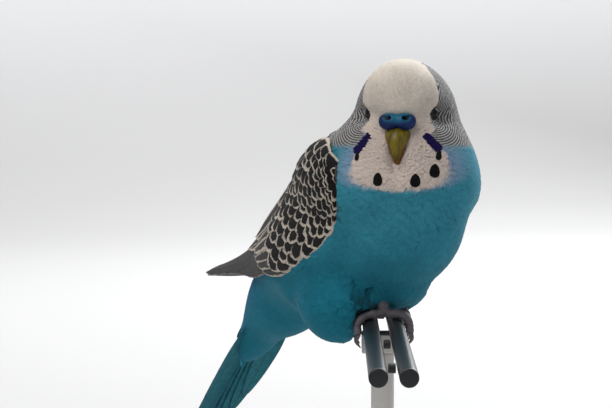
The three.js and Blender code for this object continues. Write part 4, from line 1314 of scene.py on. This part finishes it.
def rounded(length, radius, bevel):
    """A rod's profile with rounded ends."""
    turn = np.linspace(0, math.pi / 2, 6)
    start = [(bevel * (1 - math.sin(a)), radius - bevel * (1 - math.cos(a))) for a in turn[::-1]]
    end = [(length - p, r) for p, r in start[::-1]]
    middle = [(p, radius) for p in np.linspace(bevel, length - bevel, 24)[1:-1]]
    return [(0, radius - bevel - 0.001), *start[1:], *middle, *end[:-1], (length, radius - bevel - 0.001)]


RAIL_LOOK = rail_look()
STAND_LOOK = stand_look()
for side_name, side in (("left", -1), ("right", 1)):
    start = rail(-92, side * ROD_SPACING / 2, -ROD_RADIUS)
    rod = lathe(f"rod_{side_name}", start, RAIL_AWAY, rounded(116, ROD_RADIUS, 0.4), RAIL_LOOK, 64)
    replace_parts(rod, f"rail_{side_name}")
RUNG_LENGTH = ROD_SPACING - 2 * ROD_RADIUS - 0.6
for i, t in enumerate((-78, -40, 18)):
    start = rail(t, -RUNG_LENGTH / 2, -ROD_RADIUS)
    rung = lathe(f"rung_{i + 1}", start, RAIL_RIGHT, rounded(RUNG_LENGTH, 1.1, 0.15), RAIL_LOOK, 48)
    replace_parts(rung, f"rail_rung_{i + 1}")


def base_profile():
    turn = np.linspace(0, math.pi / 2, 9)
    corner = [(7 - 1 + math.sin(a), 47 + math.cos(a)) for a in turn]
    return [(0, 47.4), (0.3, 47.9), (0.6, 48), *[(z, 48) for z in (2, 4, 5.6)], *corner]


stand_base = lathe("stand_disc", np.zeros(3), UP, base_profile(), STAND_LOOK, 128)
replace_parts(stand_base, "stand_base")
SADDLE_TOP = RAIL_TOP - 2 * ROD_RADIUS - 0.3
post_profile = rounded(SADDLE_TOP - 5 - 0.3 - 7.3, 3, 0.3)
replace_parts(lathe("stand_column", 7.3 * UP, UP, post_profile, STAND_LOOK, 64), "stand_post")


def saddle():
    made = bmesh.new()
    bmesh.ops.create_cube(made, size=1)
    for vertex in made.verts:
        x, y, z = vertex.co
        place = rail(9 * y, 11 * x, 0) + (SADDLE_TOP - RAIL_TOP - 2.5 + 5 * z) * UP
        vertex.co = Vector(place * MM)
    bmesh.ops.bevel(made, geom=made.edges[:], offset=0.5 * MM, segments=4, affect="EDGES", profile=0.5)
    mesh = bpy.data.meshes.new("stand_cradle")
    made.to_mesh(mesh)
    made.free()
    mesh.polygons.foreach_set("use_smooth", np.ones(len(mesh.polygons), bool))
    mesh.materials.append(STAND_LOOK)
    obj = bpy.data.objects.new("stand_cradle", mesh)
    bpy.context.scene.collection.objects.link(obj)
    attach(obj, "root")
    sharpen(obj)
    return obj


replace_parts(saddle(), "stand_saddle")


# Coat: tufts of small feathers over the skin

LIE_BODY = unit(np.array([0, 0.77, -0.64]))


def lie(points, normals):
    """The way the feathers point: back from the bill on the head, down and back on the body."""
    outward = unit(points - head(12.5, 0, -1.5))
    near_head = smooth(30, 17, np.linalg.norm(points - HEAD_ORIGIN, axis=1))
    way = lerp(LIE_BODY, outward, near_head[:, None])
    way = way - normals * np.sum(way * normals, axis=1, keepdims=True)
    return unit(way)


def face_gap(points):
    """How far points lie outside cere, bill and eyes."""
    gap = cere_field(points)
    for f, u, wide, deep in UPPER_BILL[1:]:
        gap = np.minimum(gap, distance(points, head_mass(f, 0, u, [deep, wide, deep])))
    for centre in EYE_CENTRES:
        gap = np.minimum(gap, np.linalg.norm(points - centre, axis=1) - EYE_RADIUS - 0.1)
    return gap


def skin_samples(count):
    """Random places on the skin, evenly spread by area."""
    corners = skin_points[skin_faces]
    area = np.linalg.norm(np.cross(corners[:, 2] - corners[:, 0], corners[:, 3] - corners[:, 1]), axis=1)
    face = RANDOM.choice(len(area), count, p=area / area.sum())
    u, v = RANDOM.random((2, count, 1))
    c = corners[face]
    return lerp(lerp(c[:, 0], c[:, 1], u), lerp(c[:, 3], c[:, 2], u), v)


def thin_out(points, spacing):
    """Keeps places that lie at least their own spacing apart."""
    tree = KDTree(len(points))
    for i, p in enumerate(points.tolist()):
        tree.insert(p, i)
    tree.balance()
    alive = np.ones(len(points), bool)
    kept = []
    for i, (p, gap) in enumerate(zip(points.tolist(), spacing.tolist())):
        if alive[i]:
            kept.append(i)
            for _, j, _ in tree.find_range(p, gap):
                alive[j] = False
    return np.array(kept)


# Tuft templates: rows of (along, half width), then the frayed tip's points
HEAD_TUFT = {
    "rows": [(0.35, 0.9), (0.7, 0.95)],
    "tips": [(0.92, 0.6), (0.84, 0.25), (1.0, -0.05), (0.86, -0.5)],
}
BODY_TUFT = {
    "rows": [(0.25, 0.75), (0.55, 1.0), (0.76, 0.85)],
    "tips": [
        (0.93, 0.7), (0.82, 0.45), (1.0, 0.25), (0.84, 0.05),
        (0.97, -0.2), (0.82, -0.38), (0.9, -0.62), (0.8, -0.7),
    ],
}


def template(shape):
    """Points (along, across, height) and triangles of one closed tuft."""
    points = [(0, 0, 0)]
    rows = []
    for along, half in shape["rows"]:
        start = len(points)
        points += [(along, half, 0), (along, 0, 1), (along, -half, 0), (along, 0, -1)]
        rows.append([start, start + 1, start + 2, start + 3])
    faces = []
    left, top, right, under = rows[0]
    faces += [(0, top, left), (0, right, top), (0, left, under), (0, under, right)]
    for low, high in zip(rows, rows[1:]):
        for k in range(4):
            a, b, c, d = low[k], low[k - 3], high[k], high[k - 3]
            faces += [(a, b, d), (a, d, c)]
    left, top, right, under = rows[-1]
    tips = list(range(len(points), len(points) + len(shape["tips"])))
    points += [(along, across, 0) for along, across in shape["tips"]]
    outline = [left, *tips, right]
    for a, b in zip(outline, outline[1:]):
        faces += [(a, top, b), (b, under, a)]
    return np.array(points, float), np.array(faces)


def raise_to(level, points, out):
    """Moves points straight out or in, to their own level over the surface."""
    for _ in range(3):
        points = points + out * (level - surface(points))[:, None].clip(-1.5, 1.5)
    return points


ASTRAY = 0.38


def tufts(name, shape, roots, length, width, rise, thick):
    """One coat piece: every tuft lies on the surface along the feathers' way and carries its markings."""
    pattern, faces = template(shape)
    count, each = len(roots), len(pattern)
    normals = unit(gradient(roots))
    way = lie(roots, normals)
    turn = RANDOM.normal(0, 0.13, (count, 1))
    side = np.cross(normals, way)
    way = unit(way + turn * side)
    side = np.cross(normals, way)
    flip = RANDOM.choice([-1.0, 1.0], (count, 1))
    t = np.broadcast_to(pattern[:, 0], (count, each))
    fray = 1 + 0.1 * RANDOM.uniform(-1, 1, (count, each)) * (t > 0.8)
    t = t * fray
    x = pattern[None, :, 1] * (0.5 * width[:, None]) * flip
    points = roots[:, None] + way[:, None] * (t * length[:, None])[..., None] + side[:, None] * x[..., None]
    lift = rise * (0.6 + 0.8 * RANDOM.random((count, 1)))
    level = lerp(-0.8 * coat_depth(roots)[:, None] - 0.15, lift, np.clip(t, 0, 1) ** 0.7) - 0.03
    level = level + thick * pattern[None, :, 2] * 0.5 - 0.05 * np.abs(pattern[None, :, 1])
    flat = raise_to(level.ravel(), points.reshape(-1, 3), np.repeat(normals, each, axis=0))
    astray = np.abs(surface(flat) - level.ravel()).reshape(count, each).max(axis=1)
    reach = np.linalg.norm(flat.reshape(count, each, 3) - roots[:, None], axis=2).max(axis=1)
    sound = (astray < ASTRAY) & (reach < 1.2 * length + 0.8)
    flat = flat.reshape(count, each, 3)[sound].reshape(-1, 3)
    parts = (roots, normals, way, side, t, x, flip, length, width)
    roots, normals, way, side, t, x, flip, length, width = (part[sound] for part in parts)
    count = len(roots)
    end = roots + way * length[:, None]
    end = end - unit(gradient(end)) * surface(end)[:, None]
    end_normals = unit(gradient(end))
    bent = lerp(normals[:, None], end_normals[:, None], np.clip(t, 0, 1)[..., None])
    tilt = 0.025 * RANDOM.normal(0, 1, (count, 1, 3))
    lean = (0.07 * x / np.maximum(0.5 * width[:, None], 0.1))[..., None] * side[:, None]
    shading = unit(bent + tilt + lean).reshape(-1, 3)
    # Painted shade: each tuft is darker toward its root, where the tufts lying over it would shade it.
    shade = np.clip(0.72 + 0.4 * t + 0.05 * RANDOM.normal(0, 1, (count, 1)), 0, 1.0).ravel()
    own = 37.0 * RANDOM.random((count, 1)) + 0 * x
    barb = np.stack([t * length[:, None], x, own], axis=-1).reshape(-1, 3)
    every = (faces[None] + (np.arange(count) * each)[:, None, None]).reshape(-1, 3)
    turned = np.repeat(flip[:, 0] < 0, len(faces))
    every[turned] = every[turned][:, ::-1]
    centre = skin_patches[[skin_tree.find_nearest(p)[2] for p in roots.tolist()]]
    small = np.stack([pattern[:, 0] - 0.5, 0.5 * pattern[:, 1]], axis=1) * 0.003
    patch = (centre[:, None] + small[None]).reshape(-1, 2)
    again = np.repeat(roots, each, axis=0)
    facts = coat_facts(flat, bent.reshape(-1, 3), again, shade, barb)
    return add_object(name, flat, every, COAT, facts=facts, normals=shading, patch=patch)


def mantle_quills():
    """Feathers with dark middles and pale rims over the back between the wings."""
    places = settle(skin_samples(60000), 0, 2)
    normals = unit(gradient(places))
    keep = (on_mantle(places, normals) > 0.3) & (places[:, 1] > 3)
    places = places[keep]
    grown = smooth(3, 40, places[:, 1])
    kept = thin_out(places, lerp(1.6, 2.6, grown))
    places, grown = places[kept], grown[kept]
    normals = unit(gradient(places))
    way = lie(places, normals) + 0.1 * RANDOM.normal(0, 1, (len(places), 1)) * SIDEWAYS
    way = unit(way)
    side = np.cross(normals, way)
    lengths = lerp(5.0, 8.0, grown) * RANDOM.uniform(0.9, 1.1, len(places))
    widths = lerp(3.4, 5.0, grown) * RANDOM.uniform(0.9, 1.1, len(places))

    def put(t, across, height):
        points = places[:, None, None] + way[:, None, None] * (t * lengths[:, None, None])[..., None]
        points = points + side[:, None, None] * across[..., None]
        out = np.broadcast_to(normals[:, None, None], points.shape).reshape(-1, 3)
        flat = raise_to(height.ravel(), points.reshape(-1, 3), out)
        return flat.reshape(points.shape), unit(gradient(flat)).reshape(points.shape)

    made = vanes(put, lengths, widths, (-0.9, 0.3), thick=0.22, tilt=0.0, tip_margin=1.6)
    count = len(places)
    group = (made, colours(count, BLACK, 0.3), colours(count, PALE, 0.1), np.full(count, 0.5))
    return quill_piece("mantle_quills", [group])


def grow_coat():
    count = 500000
    places = settle(skin_samples(count), 0, 2)
    away = np.linalg.norm(places - HEAD_ORIGIN, axis=1)
    on_head = smooth(27, 18, away)
    near_face = smooth(16, 7, np.linalg.norm(places - head(14, 0, -1), axis=1))
    spacing = lerp(0.92, 0.5, on_head)
    spacing = lerp(spacing, 0.36, near_face)
    keep = (face_gap(places) > 0.15) & (wing_inset(places) < 2.0) & (rail_clearance(places) > 0.1)
    keep &= (places[:, 1] < 78) & ((on_mantle(places, unit(gradient(places))) < 0.5) | (places[:, 1] < 4.5))
    places, spacing, on_head, near_face = (v[keep] for v in (places, spacing, on_head, near_face))
    kept = thin_out(places, spacing)
    places, spacing, on_head, near_face = (v[kept] for v in (places, spacing, on_head, near_face))
    length = lerp(4.8, 2.2, on_head) * lerp(1, 0.62, near_face) * RANDOM.uniform(0.85, 1.15, len(places))
    width = lerp(2.3, 1.2, on_head) * lerp(1, 0.62, near_face) * RANDOM.uniform(0.85, 1.15, len(places))
    small = on_head > 0.5
    for title, chosen, shape, limit, rise, thick in (
        ("coat_head", small, HEAD_TUFT, 9000, 0.02, 0.04),
        ("coat_body", ~small, BODY_TUFT, 4800, 0.05, 0.06),
    ):
        index = np.flatnonzero(chosen)
        index = index[np.argsort(places[index, 2] - 0.4 * places[index, 1])]
        parts = max(1, math.ceil(len(index) / limit))
        for n, part in enumerate(np.array_split(index, parts)):
            tufts(f"{title}_{n + 1}", shape, places[part], length[part], width[part], rise, thick)


mantle_quills()
grow_coat()


# Camera, light and stage

CAMERA = np.array([-247.8, -389.2, RAIL_TOP + 56])
VIEW = unit(np.array([0.5, 0.8660254, -math.tan(math.radians(3.347))]))


def look_along(obj, place, way):
    obj.location = Vector(place * MM)
    obj.rotation_euler = Vector(way).to_track_quat("-Z", "Y").to_euler()


camera_data = bpy.data.cameras.new("camera")
camera_data.sensor_width = 36
camera_data.lens = 104.6
camera_data.clip_start = 0.01
camera_data.clip_end = 50
camera = bpy.data.objects.new("camera", camera_data)
bpy.context.scene.collection.objects.link(camera)
look_along(camera, CAMERA, VIEW)
bpy.context.scene.camera = camera


def lamp(name, place, size, power, colour, target=(0, 10, 95)):
    data = bpy.data.lights.new(name, "AREA")
    data.size = size
    data.energy = power
    data.color = colour
    obj = bpy.data.objects.new(name, data)
    bpy.context.scene.collection.objects.link(obj)
    look_along(obj, place, np.array(target, float) - place)


ACROSS = np.array([0.8660254, -0.5, 0])
TOWARDS = np.array([-0.5, -0.8660254, 0])
lamp("key", 700 * TOWARDS - 620 * ACROSS + 1150 * UP, 0.9, 9.0, (1.0, 0.97, 0.93))
lamp("fill", 1000 * TOWARDS + 800 * ACROSS + 300 * UP, 1.2, 1.0, (0.93, 0.96, 1.0))
lamp("window", -800 * TOWARDS + 500 * ACROSS + 760 * UP, 0.9, 16.0, (0.96, 0.98, 1.0))
lamp("wall", -900 * TOWARDS + 2100 * UP, 1.6, 30.0, (1.0, 1.0, 1.0), -2000 * TOWARDS + 500 * UP)


def backdrop():
    """A floor that sweeps up into a plain wall behind the bird."""
    path = [(3.0, 0.0), (0.0, 0.0), (-1.0, 0.0)]
    for a in np.linspace(0, math.pi / 2, 14):
        path.append((-1.1 - 0.9 * math.sin(a), 0.9 - 0.9 * math.cos(a)))
    path.append((-2.0, 3.2))
    rows = []
    for out, up in path:
        for across in (-4.0, 4.0):
            rows.append((TOWARDS * out + ACROSS * across + UP * up) / MM)
    count = len(path)
    faces = [(2 * i, 2 * i + 1, 2 * i + 3, 2 * i + 2) for i in range(count - 1)]
    return add_object("backdrop", np.array(rows), faces, stage_look(), body=False)


backdrop()
world = bpy.data.worlds.new("world")
world.use_nodes = True
world.node_tree.nodes["Background"].inputs[0].default_value = (0.86, 0.89, 0.95, 1)
world.node_tree.nodes["Background"].inputs[1].default_value = 0.45
bpy.context.scene.world = world
bpy.context.scene.view_settings.view_transform = "Standard"
